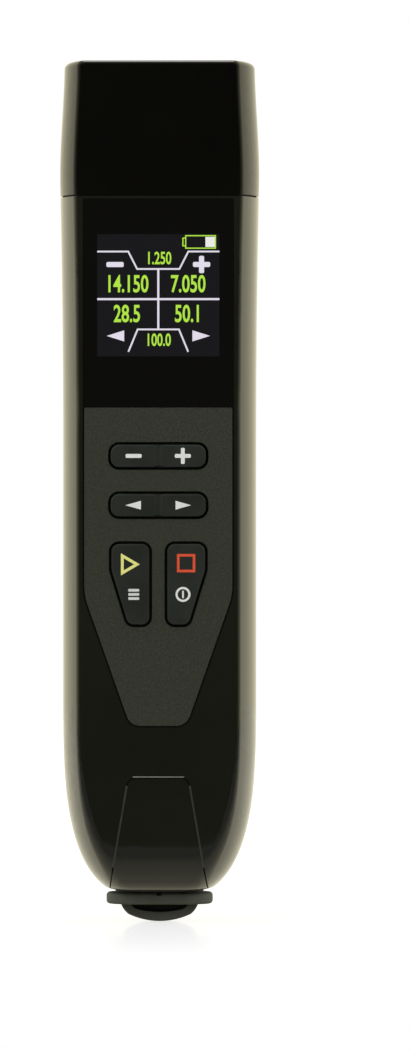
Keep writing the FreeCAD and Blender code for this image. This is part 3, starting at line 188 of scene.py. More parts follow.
def closed_mesh(name, points, faces, material, body):
    """A mesh object at the origin from points in millimetres. The faces come wound outwards."""
    mesh = bpy.data.meshes.new(name)
    mesh.from_pydata((np.asarray(points, float) * MM).tolist(), [], faces)
    mesh.validate()
    piece = bpy.data.objects.new(name, mesh)
    bpy.context.scene.collection.objects.link(piece)
    mesh.materials.append(material)
    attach(piece, body)
    return piece


def plate(name, outline, back, material, body, proud=INK, depth=PRINT_DEPTH):
    """A thin closed plate: a counter-clockwise (x, z) outline carried along the depth, from depth
    behind the face at y = back to proud in front of it."""
    outline = np.asarray(outline, float)
    count = len(outline)
    front = np.column_stack([outline[:, 0], np.full(count, back - proud), outline[:, 1]])
    rear = front + [0, proud + depth, 0]
    near = np.arange(count)
    beside = np.roll(near, -1)
    sides = np.column_stack([near, near + count, beside + count, beside]).tolist()
    faces = [near.tolist(), (near[::-1] + count).tolist()] + sides
    return closed_mesh(name, np.vstack([front, rear]), faces, material, body)


def stroke(name, path, width, back, material, body, closed=False, proud=INK, depth=PRINT_DEPTH):
    """A thin closed band along a (x, z) path. Each corner is mitred: it moves along the mean of its two
    edges' normals, divided by the cosine of half the turn, so the band keeps its width."""
    path = np.asarray(path, float)
    step = np.roll(path, -1, axis=0) - path
    if not closed:
        step[-1] = step[-2]
    step /= np.linalg.norm(step, axis=1)[:, None]
    before = np.roll(step, 1, axis=0)
    if not closed:
        before[0] = step[0]
    normal = np.column_stack([-step[:, 1], step[:, 0]])
    normal_before = np.column_stack([-before[:, 1], before[:, 0]])
    mean = normal + normal_before
    mean /= (mean * normal).sum(axis=1)[:, None]
    left = path + mean * width / 2
    right = path - mean * width / 2
    count = len(path)
    flat = np.vstack([left, right])
    front = np.column_stack([flat[:, 0], np.full(2 * count, back - proud), flat[:, 1]])
    points = np.vstack([front, front + [0, proud + depth, 0]])
    near = np.arange(count if closed else count - 1)
    ahead = (near + 1) % count
    rear = 2 * count
    faces = np.vstack([
        np.column_stack([near, near + count, ahead + count, ahead]),
        np.column_stack([near, ahead, ahead + count, near + count]) + rear,
        np.column_stack([near, ahead, ahead + rear, near + rear]),
        np.column_stack([near + count, near + count + rear, ahead + count + rear, ahead + count])]).tolist()
    if not closed:
        last = count - 1
        faces.append([0, rear, count + rear, count])
        faces.append([last, last + count, last + count + rear, last + rear])
    return closed_mesh(name, points, faces, material, body)


def ring_points(centre, radius, count):
    """Points on a circle: centre + radius (cos t, sin t), t in even steps round it."""
    t = 2 * math.pi * np.arange(count) / count
    return np.column_stack([centre[0] + radius * np.cos(t), centre[1] + radius * np.sin(t)])


def bar(centre, width, height):
    """Outline of a bar: the centre with half the width and height added or taken at each corner."""
    half = np.array([width, height]) / 2
    return np.array(centre) + half * np.array([[-1, -1], [1, -1], [1, 1], [-1, 1]])


def rounded_bar(centre, width, height, radius):
    """Outline of a bar with round corners: four quarter circles, each centred radius inside its corner."""
    t = np.radians(np.linspace(0, 90, CORNER_POINTS))
    corners = []
    for index, (right, up) in enumerate(((1, 1), (-1, 1), (-1, -1), (1, -1))):
        turned = t + index * math.pi / 2
        middle = [right * (width / 2 - radius), up * (height / 2 - radius)]
        corners.append(middle + radius * np.column_stack([np.cos(turned), np.sin(turned)]))
    return np.array(centre) + np.vstack(corners)


def arrow(tip, base, half):
    """A triangle from its tip to a base on the same level, counter-clockwise."""
    points = np.array([tip, [base, tip[1] - half], [base, tip[1] + half]])
    return points if base < tip[0] else points[::-1]


def figures(name, text, centre, height, back, material, body):
    """Plain figures as a thin closed mesh, centred on an (x, z) place in front of the face at y = back."""
    curve = bpy.data.curves.new(name, "FONT")
    curve.body = text
    curve.align_x = "CENTER"
    curve.align_y = "CENTER"
    curve.size = height / FIGURE_SHARE * MM
    curve.extrude = (INK + PRINT_DEPTH) / 2 * MM
    curve.offset = curve.size * FIGURE_WEIGHT
    curve.resolution_u = CURVE_STEPS
    writer = bpy.data.objects.new(name + "_text", curve)
    bpy.context.scene.collection.objects.link(writer)
    bpy.context.view_layer.update()
    mesh = bpy.data.meshes.new_from_object(writer.evaluated_get(bpy.context.evaluated_depsgraph_get()))
    bpy.data.objects.remove(writer)
    mesh.transform(Matrix.Diagonal((FIGURE_NARROW, 1, 1, 1)))
    mesh.transform(Matrix.Rotation(math.radians(90), 4, "X"))
    middle = back + (PRINT_DEPTH - INK) / 2
    mesh.transform(Matrix.Translation((centre[0] * MM, middle * MM, centre[1] * MM)))
    mesh.materials.clear()
    mesh.materials.append(material)
    piece = bpy.data.objects.new(name, mesh)
    bpy.context.scene.collection.objects.link(piece)
    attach(piece, body)
    return piece


CORNER_POINTS = 6
CURVE_STEPS = 4
FIGURE_SHARE = 0.72     # a figure's height over the font's size
FIGURE_NARROW = 0.66    # condensed figures: share of the font's width
FIGURE_WEIGHT = 0.018   # growth of the strokes, as a share of the font's size


# Materials of the carried-over nodes

def thread_metal(name, low, high, crest, foot, top):
    """Gold over nickel on a turned thread: rings of the thread's pitch between foot and top, cut
    by a sine of the height."""
    material, tree, output, place = blank_material(name)
    stain = add(tree, "ShaderNodeTexNoise", {"Vector": place, "Scale": per_size(GOLD_PATCH)})
    tint = ramp(tree, stain.outputs["Fac"], [(0.3, low), (0.7, high)])
    height = add(tree, "ShaderNodeSeparateXYZ", {"Vector": place}).outputs["Z"]
    turns = add(tree, "ShaderNodeMath", {0: height, 1: 2 * math.pi / (THREAD_PITCH * MM)},
                operation="MULTIPLY")
    wave = add(tree, "ShaderNodeMath", {0: turns.outputs[0]}, operation="SINE")
    above = add(tree, "ShaderNodeMath", {0: height, 1: foot * MM}, operation="GREATER_THAN")
    below = add(tree, "ShaderNodeMath", {0: height, 1: top * MM}, operation="LESS_THAN")
    inside = add(tree, "ShaderNodeMath", {0: above.outputs[0], 1: below.outputs[0]}, operation="MULTIPLY")
    cut = add(tree, "ShaderNodeMath", {0: wave.outputs[0], 1: inside.outputs[0]}, operation="MULTIPLY")
    bump = add(tree, "ShaderNodeBump", {"Height": cut.outputs[0], "Distance": crest * MM, "Strength": 1.0})
    finish_material(tree, output, add(tree, "ShaderNodeBsdfPrincipled", {
        "Base Color": tint, "Metallic": 1.0, "Roughness": 0.22, "Normal": bump.outputs["Normal"]}))
    return material


def soldered_board(name):
    """Green solder resist over copper: tracks show as the paler joints of a brick pattern, one pitch high and
    three long, and fade out where a broad noise is low."""
    material, tree, output, place = blank_material(name)
    turned = add(tree, "ShaderNodeMapping", {"Vector": place, "Rotation": (math.radians(90), 0.0, 0.0)})
    tracks = add(tree, "ShaderNodeTexBrick", {
        "Vector": turned.outputs["Vector"], "Scale": 1.0, "Mortar Size": TRACK_WIDTH * MM,
        "Brick Width": TRACK_PITCH * 3 * MM, "Row Height": TRACK_PITCH * MM, "Color1": linear("#0e4a2c"),
        "Color2": linear("#0c4127"), "Mortar": linear("#2a7247")})
    cloud = add(tree, "ShaderNodeTexNoise", {"Vector": place, "Scale": per_size(TRACK_PITCH * 6)})
    plain = ramp(tree, cloud.outputs["Fac"], [(0.3, "#0d4529"), (0.7, "#105031")])
    share = add(tree, "ShaderNodeMapRange", {
        "Value": cloud.outputs["Fac"], "From Min": TRACK_FADE[0], "From Max": TRACK_FADE[1]})
    tint = add(tree, "ShaderNodeMix", {
        "Factor": share.outputs["Result"], "A": plain, "B": tracks.outputs["Color"]}, data_type="RGBA")
    bump = add(tree, "ShaderNodeBump", {
        "Height": tracks.outputs["Fac"], "Distance": TRACK_STEP * MM, "Strength": 1.0})
    finish_material(tree, output, add(tree, "ShaderNodeBsdfPrincipled", {
        "Base Color": tint.outputs["Result"], "Roughness": 0.35, "Normal": bump.outputs["Normal"],
        "IOR": 1.55}))
    return material


THREAD_PITCH = 0.706        # thirty-six turns to the inch
THREAD_CREST = 0.16
THREAD_RUN_OUT = 0.4        # plain rim at the jack's mouth
NUT_GAP = 0.5               # from the nut to the first ring that shows
GOLD_PATCH = 6.0
TRACK_WIDTH = 0.25
TRACK_PITCH = 1.3
TRACK_STEP = 0.03
TRACK_FADE = (0.42, 0.5)    # noise values between which the tracks come in
jack_mouth = box_mm("rf_jack")[1][2]
nut_top = box_mm("jack_nut")[1][2]

FINISHES = {
    # polished black ABS: near-black with a faint olive cast and a very slight orange peel that softens edges
    "shell_gloss": moulded("polished_black_abs", "#181912", "#1c1d16", 30, (0.05, 0.09), 2.2, 0.0006,
                           {"Coat Weight": 0.3, "Coat Roughness": 0.04}),
    # the insert's own moulding: the same polish, a shade lighter than the casing
    "insert_gloss": moulded("polished_black_insert", "#191a14", "#1d1e17", 24, (0.06, 0.1), 2.2, 0.0006,
                            {"Coat Weight": 0.3, "Coat Roughness": 0.05}),
    # the cap is a separate moulding, blacker than the casing
    "cap_gloss": moulded("polished_black_cap", "#040403", "#080806", 26, (0.08, 0.13), 2.4, 0.0006,
                         {"IOR": 1.4}),
    # matt black ABS with the fine texture of an unpolished tool
    "collar_plastic": moulded("matt_black_abs", "#17181a", "#1d1e1f", 12, (0.5, 0.62), 0.25, 0.01),
    # soft black rubber, dull and slightly dusty
    "seal_rubber": moulded("black_seal_rubber", "#101010", "#1b1b1a", 8, (0.72, 0.85), 0.3, 0.01),
    # cast black acrylic: deeper and glossier than the casing round it
    "lens_black": moulded("black_acrylic_window", "#070708", "#0a0a0b", 40, (0.03, 0.05), 6.0, 0.0002),
    # back of the display glass: dark and smooth
    "display_panel": moulded("smoked_display_glass", "#17181a", "#1b1c1e", 20, (0.06, 0.1), 4.0, 0.0002),
    # white light-guide plastic behind the display
    "white_plastic": moulded("white_polycarbonate", "#e4e3dc", "#efeee9", 14, (0.35, 0.45), 0.4, 0.004),
    # spark-eroded texture of the keypad plate: warm dark grey with pits about a third of a millimetre wide
    "panel_matte": moulded("spark_grained_plate", "#33362c", "#404337", 0.4, (0.42, 0.62), 0.34, 0.035),
    # satin moulded keys, one shade darker than the plate
    "key_plastic": moulded("satin_key_plastic", "#252924", "#2d322c", 10, (0.34, 0.46), 0.2, 0.004),
    # grey silicone under the keys
    "mat_rubber": moulded("grey_silicone", "#3a3b3c", "#454646", 6, (0.6, 0.75), 0.4, 0.01),
    # glass-fibre laminate under green lacquer
    "board_laminate": soldered_board("green_circuit_laminate"),
    # tinned steel, grey-white and softly streaked
    "shield_tin": metal("tinned_steel", "#a9a9a2", "#c9c9c2", 5, (0.25, 0.4), 0.5, 0.006),
    # moulded chip epoxy
    "chip_epoxy": moulded("chip_epoxy", "#18181a", "#222224", 3, (0.5, 0.6), 0.15, 0.006),
    # bright zinc on the machine screws
    "screw_steel": metal("zinc_plated_steel", "#8d8f8e", "#adafad", 2, (0.28, 0.42), 0.3, 0.006),
    # gold over nickel on the jack, with the thread's rings between nut and mouth
    "jack_gold": thread_metal("gold_plated_brass", "#d9a441", "#eec46a", THREAD_CREST, nut_top + NUT_GAP,
                              jack_mouth - THREAD_RUN_OUT),
    # bright nickel on the nut and washer
    "nut_plated": metal("nickel_plated_brass", "#b9b4a6", "#d2cdbf", 4, (0.16, 0.26), 0.4, 0.004),
    # milky white fluoropolymer
    "ptfe_white": moulded("white_fluoropolymer", "#e2e1da", "#eeede8", 5, (0.3, 0.42), 0.5, 0.003),
    # brown-red jacket of thin coax
    "coax_jacket": moulded("coax_jacket", "#6f4526", "#80532f", 4, (0.3, 0.42), 0.6, 0.006),
    # blue heat-shrunk sleeve of the cell, with slight wrinkles
    "cell_sleeve": moulded("shrunk_cell_sleeve", "#28557f", "#2f6190", 16, (0.22, 0.34), 3.0, 0.03),
    # moulded rubber plug: a matt grey-green that reads as worn black, lightly grained
    "plug_rubber": moulded("grey_green_plug_rubber", "#55584d", "#61645a", 5, (0.55, 0.7), 0.3, 0.012),
}


def smoothing_group():
    """Joins a CAD mesh's loose triangles, shades it smooth and keeps edges sharper than EDGE_ANGLE."""
    group = bpy.data.node_groups.new("join_and_smooth", "GeometryNodeTree")
    group.interface.new_socket("Geometry", in_out="INPUT", socket_type="NodeSocketGeometry")
    group.interface.new_socket("Geometry", in_out="OUTPUT", socket_type="NodeSocketGeometry")
    start = add(group, "NodeGroupInput").outputs[0]
    joined = add(group, "GeometryNodeMergeByDistance", {"Geometry": start, "Distance": JOIN_DISTANCE})
    smooth = add(group, "GeometryNodeSetShadeSmooth", {"Geometry": joined.outputs[0], "Shade Smooth": True},
                 domain="FACE")
    angle = add(group, "GeometryNodeInputMeshEdgeAngle").outputs["Unsigned Angle"]
    sharp = add(group, "FunctionNodeCompare", {"A": angle, "B": EDGE_ANGLE}, data_type="FLOAT",
                operation="GREATER_THAN")
    creased = add(group, "GeometryNodeSetShadeSmooth", {
        "Geometry": smooth.outputs[0], "Selection": sharp.outputs[0], "Shade Smooth": False}, domain="EDGE")
    add(group, "NodeGroupOutput", {"Geometry": creased.outputs[0]})
    return group


JOIN_DISTANCE = 0.002 * MM
EDGE_ANGLE = math.radians(34)

smoothing = smoothing_group()
for part in frame["record"]["subparts"]:
    node = frame["nodes"][part["node"]]
    node.data.materials.clear()
    node.data.materials.append(FINISHES[part["material_slot"]])
    modifier = node.modifiers.new("join_and_smooth", "NODES")
    modifier.node_group = smoothing
    weights = node.modifiers.new("face_weights", "WEIGHTED_NORMAL")
    weights.keep_sharp = True


# Small pieces of the casing

def vertices_mm(node):
    """The vertices of a CAD node, one row each, in millimetres."""
    mesh = frame["nodes"][node].data
    points = np.empty(3 * len(mesh.vertices))
    mesh.vertices.foreach_get("co", points)
    return points.reshape(-1, 3) / MM


def front_at(node, heights):
    """The node's foremost y at each height. Its front only comes forward with height, so levels where no
    vertex lies on the front take the one below."""
    points = vertices_mm(node)
    front = points[points[:, 1] < FRONT_BAND]
    levels = np.unique(np.round(front[:, 2], 1))
    foremost = np.array([front[np.abs(front[:, 2] - z) < LEVEL_MARGIN, 1].min() for z in levels])
    return np.interp(heights, levels, np.minimum.accumulate(foremost))


def outline_at(node, height, margin):
    """The (x, y) outline of a CAD node near one height: in each of OUTLINE_STEPS directions round the
    middle, the support point of its vertices, of which only those apart from the last one are kept."""
    points = vertices_mm(node)
    level = points[np.abs(points[:, 2] - height) < margin][:, :2]
    turn = 2 * math.pi * np.arange(OUTLINE_STEPS) / OUTLINE_STEPS
    directions = np.column_stack([np.cos(turn), np.sin(turn)])
    reached = level[np.argmax(level @ directions.T, axis=0)]
    apart = np.linalg.norm(reached - np.roll(reached, 1, axis=0), axis=1) > OUTLINE_APART
    return reached[apart]


def inset_outline(outline, inset):
    """Each point moves inwards along the mean normal of its two edges."""
    step = np.roll(outline, -1, axis=0) - outline
    step /= np.linalg.norm(step, axis=1)[:, None]
    mean = step + np.roll(step, 1, axis=0)
    mean /= np.linalg.norm(mean, axis=1)[:, None]
    return outline + inset * np.column_stack([-mean[:, 1], mean[:, 0]])


def flat_ring(name, outline, width, low, high, material, body):
    """A closed ring of one width inside an (x, y) outline, between two heights."""
    count = len(outline)
    inner = inset_outline(outline, width)
    levels = [np.column_stack([ring, np.full(count, z)]) for z in (low, high) for ring in (outline, inner)]
    near = np.arange(count)
    ahead = np.roll(near, -1)
    foot_out, foot_in, top_out, top_in = 0, count, 2 * count, 3 * count
    faces = [np.column_stack([near + a, ahead + a, ahead + b, near + b])
             for a, b in ((foot_out, top_out), (top_out, top_in), (top_in, foot_in), (foot_in, foot_out))]
    return closed_mesh(name, np.vstack(levels), np.vstack(faces).tolist(), material, body)


def bead(name, path, width, proud, back, material, body):
    """A low rounded ridge along an (x, z) path: across it the height is proud times the cosine of half a
    turn, so that it meets the face on both sides. back gives the face's y at each point of the path."""
    path = np.asarray(path, float)
    step = np.gradient(path, axis=0)
    step /= np.linalg.norm(step, axis=1)[:, None]
    normal = np.column_stack([-step[:, 1], step[:, 0]])
    across = np.linspace(-0.5, 0.5, BEAD_POINTS)
    flat = path[:, None, :] + across[None, :, None] * width * normal[:, None, :]
    lift = proud * np.cos(math.pi * across)[None, :] - BEAD_ROOT
    depth = np.broadcast_to(back, len(path))[:, None] - lift
    top = np.dstack([flat[:, :, 0], depth, flat[:, :, 1]])
    foot = top[:, ::BEAD_POINTS - 1] + [0, BEAD_DEPTH, 0]
    ring = np.concatenate([top, foot[:, ::-1]], axis=1)
    count, around = ring.shape[:2]
    row = np.arange(count - 1)[:, None] * around
    column = np.arange(around)[None, :]
    ahead = (column + 1) % around
    faces = np.stack([row + column, row + around + column, row + around + ahead, row + ahead], axis=-1)
    faces = faces.reshape(-1, 4).tolist()
    faces.append(list(range(around)))
    faces.append(list(range((count - 1) * around, count * around))[::-1])
    piece = closed_mesh(name, ring.reshape(-1, 3), faces, material, body)
    piece.data.shade_smooth()
    return piece


FRONT_BAND = -9.0         # a front's vertices lie before this depth
LEVEL_MARGIN = 0.15
OUTLINE_STEPS = 720
OUTLINE_APART = 0.05
MOUTH_MARGIN = 0.3
LIP_INSET = 0.45          # the dust lip stays this far inside the cap's outline
LIP_WIDTH = 3.2
BEAD_POINTS = 7
BEAD_ROOT = 0.02          # how far a bead's edges sink below the face
BEAD_DEPTH = 0.25
EDGE_WIDTH = 0.3
EDGE_PROUD = 0.17
SIDE_EDGE_WIDTH = 0.4
SIDE_EDGE_PROUD = 0.07
TONGUE_TOP = 24.35        # the insert's tongue over the casing's lower end
TONGUE_HALF = 5.35        # straight part of its upper edge
TONGUE_STEPS = 24
SEAM_TOP_HALF = 6.24      # half width between the side seams at the tongue's top
SEAM_FOOT_HALF = 10.39    # and at the casing's lower end
SEAM_EDGE_DROP = 1.8      # the side edges begin this far below the tongue's top
SEAM_EDGE_RISE = 5.5      # and end this far above the casing's lower end

# Dark lip that closes the seam under the cap
cap_mouth = box_mm("connector_cap")[0][2]
body_top = box_mm("front_shell")[1][2]
lip_outline = inset_outline(outline_at("connector_cap", cap_mouth, MOUTH_MARGIN), LIP_INSET)
flat_ring("dust_lip", lip_outline, LIP_WIDTH, body_top, cap_mouth, FINISHES["seal_rubber"], "casing")

# painted highlight on the insert's upper edge: a pale grey that stands in for the light it catches from above
# as one pale line
PAINTED_HIGHLIGHT_EDGE = moulded("painted_highlight_edge", "#7d7e75", "#8a8b81", 2.0, (0.2, 0.3), 0.3, 0.004)
# painted highlight on the insert's side edges: a colour only a little paler than the gloss around them,
# standing in for the light they catch
PAINTED_SHEEN_EDGE = moulded("painted_sheen_edge", "#34352c", "#3e3f35", 2.0, (0.25, 0.35), 0.3, 0.004)

casing_foot = box_mm("tail_insert")[0][2]
tongue_top = casing_foot + TONGUE_TOP
edge_x = np.linspace(-TONGUE_HALF, TONGUE_HALF, TONGUE_STEPS)
edge_path = np.column_stack([edge_x, np.full(TONGUE_STEPS, tongue_top)])
# the tongue's upper edge, a low ridge coloured with the painted highlight
bead("tongue_edge", edge_path, EDGE_WIDTH, EDGE_PROUD, front_at("front_shell", [tongue_top])[0],
     PAINTED_HIGHLIGHT_EDGE, "casing")
# the side seams' edges, low ridges coloured with the painted highlight
for name, side in (("left_seam_edge", -1), ("right_seam_edge", 1)):
    heights = np.linspace(tongue_top - SEAM_EDGE_DROP, casing_foot + SEAM_EDGE_RISE, TONGUE_STEPS)
    share = (tongue_top - heights) / TONGUE_TOP
    seam_x = side * (SEAM_TOP_HALF + (SEAM_FOOT_HALF - SEAM_TOP_HALF) * share)
    bead(name, np.column_stack([seam_x, heights]), SIDE_EDGE_WIDTH, SIDE_EDGE_PROUD,
         front_at("tail_insert", heights), PAINTED_SHEEN_EDGE, "casing")

# Painted shade in the fingernail recess: a near-black plate on its floor, on both faces of the plug's tab
GRIP_HALF = 6.12
GRIP_DROP = 1.74
GRIP_TOP = 3.69
GRIP_ROUND_ACROSS = 2 / 2.6    # powers of the half superellipse: above 1 is more pointed, below 1 squarer
GRIP_ROUND_DOWN = 2 / 1.6
GRIP_POINTS = 40
GRIP_WEB = 0.5                 # the recesses' floors lie this far either side of the tab's middle
GRIP_OUT = 0.05                # a floor's outer face stands this far off the web
GRIP_IN = 0.02
# rough near-black rubber whose colour is painted shade, so the recess reads as a dark hollow
PAINTED_SHADE_RECESS = moulded("painted_shade_recess", "#030303", "#080808", 1.0, (0.85, 0.95), 0.2, 0.01)

# half a superellipse, hanging from GRIP_TOP: x goes with the cosine and z with the sine, each to its power
turn = math.pi * (1 + np.arange(GRIP_POINTS) / (GRIP_POINTS - 1))
grip_outline = np.column_stack([
    GRIP_HALF * np.sign(np.cos(turn)) * np.abs(np.cos(turn)) ** GRIP_ROUND_ACROSS,
    GRIP_TOP - GRIP_DROP * np.abs(np.sin(turn)) ** GRIP_ROUND_DOWN])
# near-black plates of painted shade on the recesses' floors
plate("front_recess", grip_outline, -GRIP_WEB, PAINTED_SHADE_RECESS, "plug", proud=GRIP_OUT)
plate("back_recess", grip_outline, GRIP_WEB, PAINTED_SHADE_RECESS, "plug", proud=GRIP_IN, depth=GRIP_OUT)


# Key symbols, printed on the key tops

# off-white pad print, slightly chalky
PALE_PRINT = moulded("off_white_pad_print", "#f4f5f0", "#fbfbf6", 0.6, (0.5, 0.6), 0.1, 0.002)
# lemon yellow pad print
YELLOW_PRINT = moulded("yellow_pad_print", "#faf88c", "#fdfb98", 0.6, (0.5, 0.6), 0.1, 0.002)
# vermilion pad print
RED_PRINT = moulded("vermilion_pad_print", "#f2532e", "#f85c36", 0.6, (0.5, 0.6), 0.1, 0.002)
# pale grey pad print
GREY_PRINT = moulded("pale_grey_pad_print", "#e4e6e0", "#ecede8", 0.6, (0.5, 0.6), 0.1, 0.002)

KEY_FACE = box_mm("start_key")[0][1]
ROCKER_FACE = box_mm("minus_plus_key")[0][1]
LAYER = 0.012            # one drawn layer over the next
MARK_ROUND = 0.3         # corner radius of a mark, as a share of its thickness
MARK_REACH = 5.12        # from a rocker's middle to its symbols
MINUS_SIZE = (3.35, 0.83)
PLUS_REACH = 3.33
PLUS_THICK = 0.81
ARROW_TIP = 6.85
ARROW_BASE = 3.6
ARROW_HALF = 0.92

upper = centre_mm("minus_plus_key")[2]
lower = centre_mm("left_right_key")[2]
minus_outline = rounded_bar((-MARK_REACH, upper), *MINUS_SIZE, MINUS_SIZE[1] * MARK_ROUND)
plate("minus_mark", minus_outline, ROCKER_FACE, PALE_PRINT, "minus_plus")


def plus(name, centre, reach, thick, back, material, body, proud=INK):
    """A plus sign of two bars with round corners, the upright one a layer over the level one."""
    radius = thick * MARK_ROUND
    plate(name + "_level", rounded_bar(centre, reach, thick, radius), back, material, body, proud=proud)
    plate(name + "_upright", rounded_bar(centre, thick, reach, radius), back, material, body,
          proud=proud + LAYER)


plus("plus_mark", (MARK_REACH, upper), PLUS_REACH, PLUS_THICK, ROCKER_FACE, PALE_PRINT, "minus_plus")
for name, side in (("left_mark", -1), ("right_mark", 1)):
    outline = arrow((side * ARROW_TIP, lower), side * ARROW_BASE, ARROW_HALF)
    plate(name, outline, ROCKER_FACE, PALE_PRINT, "left_right")

WEDGE_TOP = box_mm("start_key")[1][2]
START_LEFT, START_RIGHT = -7.47, -4.43
START_HALF = 1.78
START_Z = WEDGE_TOP - 4.95
STROKE = 0.6
SQUARE_STROKE = 0.54
BAR_WIDTH = 2.29
BAR_HEIGHT = 0.56
BAR_STEP = 0.86
BAR_X = -5.09
BAR_Z = WEDGE_TOP - 11.2
SQUARE_X, SQUARE_SIDE = 5.8, 3.28
SQUARE_Z = WEDGE_TOP - 4.7
POWER_X, POWER_Z = 5.15, WEDGE_TOP - 11.2
POWER_RADIUS = 1.33
POWER_STROKE = 0.46
POWER_BAR = (0.38, 1.55)
POWER_POINTS = 48

start_corners = [(START_LEFT, START_Z - START_HALF), (START_RIGHT, START_Z),
                 (START_LEFT, START_Z + START_HALF)]
stroke("start_mark", start_corners, STROKE, KEY_FACE, YELLOW_PRINT, "start", closed=True)
for index in range(3):
    middle = (BAR_X, BAR_Z + (1 - index) * BAR_STEP)
    outline = rounded_bar(middle, BAR_WIDTH, BAR_HEIGHT, BAR_HEIGHT * MARK_ROUND)
    plate(f"list_mark_{index + 1}", outline, KEY_FACE, GREY_PRINT, "start")
stroke("stop_mark", bar((SQUARE_X, SQUARE_Z), SQUARE_SIDE, SQUARE_SIDE), SQUARE_STROKE, KEY_FACE, RED_PRINT,
       "stop", closed=True)
power_circle = ring_points((POWER_X, POWER_Z), POWER_RADIUS, POWER_POINTS)
stroke("power_ring", power_circle, POWER_STROKE, KEY_FACE, PALE_PRINT, "stop", closed=True)
power_outline = rounded_bar((POWER_X, POWER_Z), *POWER_BAR, POWER_BAR[0] * MARK_ROUND)
plate("power_bar", power_outline, KEY_FACE, PALE_PRINT, "stop")


# What the display shows

# lit background of the panel, just brighter than the window round it
LIT_BLACK = lit("unlit_pixels", "#1c1c1e")
# lavender-white rules between the fields
LIT_LINE = lit("lavender_pixels", "#ece6f4")
# leaf-green figures and battery
LIT_GREEN = lit("green_pixels", "#b8ee4c")
LIT_WHITE = lit("white_pixels", "#f4f4f0")

WINDOW_FACE = box_mm("display_lens")[0][1]
SCREEN_Z = centre_mm("display_backlight")[2]
SCREEN_HALF = 12.7
RULE = 0.35
MIDDLE_RULE = 0.43
KNEE_TOP, KNEE_INNER, KNEE_LEVEL = (6.25, 9.1), 4.4, 5.47
FOOT_KNEE, FOOT_INNER, FOOT_LEVEL = (6.22, -11.75), 4.3, -7.1
MIDDLE_LEVEL = -0.8

plate("lit_area", bar((0, SCREEN_Z), 2 * SCREEN_HALF, 2 * SCREEN_HALF), WINDOW_FACE, LIT_BLACK, "casing")


def on_screen(points):
    """Points given from the display's middle, moved to its place."""
    return np.asarray(points, float) + [0, SCREEN_Z]


def rule(name, points, width, layer):
    """A lit line through points given from the display's middle, some layers over the lit area."""
    stroke(name, on_screen(points), width, WINDOW_FACE, LIT_LINE, "casing", proud=INK + layer * LAYER)


rule("head_rule", [(-SCREEN_HALF, KNEE_TOP[1]), (-KNEE_TOP[0], KNEE_TOP[1]), (-KNEE_INNER, KNEE_LEVEL),
                   (KNEE_INNER, KNEE_LEVEL), KNEE_TOP, (SCREEN_HALF, KNEE_TOP[1])], RULE, 1)
rule("foot_rule", [(-FOOT_KNEE[0], FOOT_KNEE[1]), (-FOOT_INNER, FOOT_LEVEL), (FOOT_INNER, FOOT_LEVEL),
                   FOOT_KNEE], RULE, 1)
rule("middle_rule", [(0, KNEE_LEVEL), (0, FOOT_LEVEL)], MIDDLE_RULE, 2)
rule("cross_rule", [(-SCREEN_HALF, MIDDLE_LEVEL), (SCREEN_HALF, MIDDLE_LEVEL)], MIDDLE_RULE, 3)

SIGN_REACH, SIGN_THICK = 3.6, 1.06
SIGN_X, SIGN_LEVEL = 9.0, 6.4
POINTER_TIP, POINTER_BASE, POINTER_HALF = 10.75, 7.1, 1.15
POINTER_LEVEL = -8.45
minus_outline = rounded_bar((-SIGN_X, SIGN_LEVEL), SIGN_REACH, SIGN_THICK, SIGN_THICK * MARK_ROUND)
plate("screen_minus", on_screen(minus_outline), WINDOW_FACE, LIT_LINE, "casing", proud=INK + LAYER)
plus("screen_plus", (SIGN_X, SIGN_LEVEL + SCREEN_Z), SIGN_REACH, SIGN_THICK, WINDOW_FACE, LIT_LINE, "casing",
     proud=INK + LAYER)
for name, side in (("screen_left", -1), ("screen_right", 1)):
    outline = on_screen(arrow((side * POINTER_TIP, POINTER_LEVEL), side * POINTER_BASE, POINTER_HALF))
    plate(name, outline, WINDOW_FACE, LIT_LINE, "casing", proud=INK + LAYER)

BATTERY = (8.79, 11.09)
BATTERY_SIZE = (6.18, 2.6)
BATTERY_LINE = 0.24
BATTERY_NUB = (0.58, 1.6)
BATTERY_FILL = 1.95
stroke("battery_outline", on_screen(bar(BATTERY, *BATTERY_SIZE)), BATTERY_LINE, WINDOW_FACE, LIT_GREEN,
       "casing", closed=True, proud=INK + LAYER)
nub_right = BATTERY[0] - BATTERY_SIZE[0] / 2
nub_left = nub_right - BATTERY_NUB[0]
nub_path = [(nub_right, BATTERY_NUB[1] / 2), (nub_left, BATTERY_NUB[1] / 2), (nub_left, -BATTERY_NUB[1] / 2),
            (nub_right, -BATTERY_NUB[1] / 2)]
stroke("battery_nub", on_screen(np.array(nub_path) + [0, BATTERY[1]]), BATTERY_LINE, WINDOW_FACE, LIT_GREEN,
       "casing", proud=INK + LAYER)
fill_x = BATTERY[0] + (BATTERY_SIZE[0] - BATTERY_FILL - BATTERY_LINE) / 2
plate("battery_level", on_screen(bar((fill_x, BATTERY[1]), BATTERY_FILL, BATTERY_SIZE[1] - 2 * BATTERY_LINE)),
      WINDOW_FACE, LIT_WHITE, "casing", proud=INK + LAYER)

# each reading's name, figures, place across and above the display's middle, and height
READINGS = (("head_figures", "1.250", 0.1, 7.6, 2.6), ("upper_left_figures", "14.150", -6.5, 2.2, 3.6),
            ("upper_right_figures", "7.050", 6.2, 2.2, 3.6), ("lower_left_figures", "28.5", -6.5, -4.0, 3.6),
            ("lower_right_figures", "50.1", 6.2, -4.0, 3.6), ("foot_figures", "100.0", 0.0, -9.4, 2.6))
for name, text, across, above, height in READINGS:
    figures(name, text, (across, SCREEN_Z + above), height, WINDOW_FACE - LAYER, LIT_GREEN, "casing")


# Studio

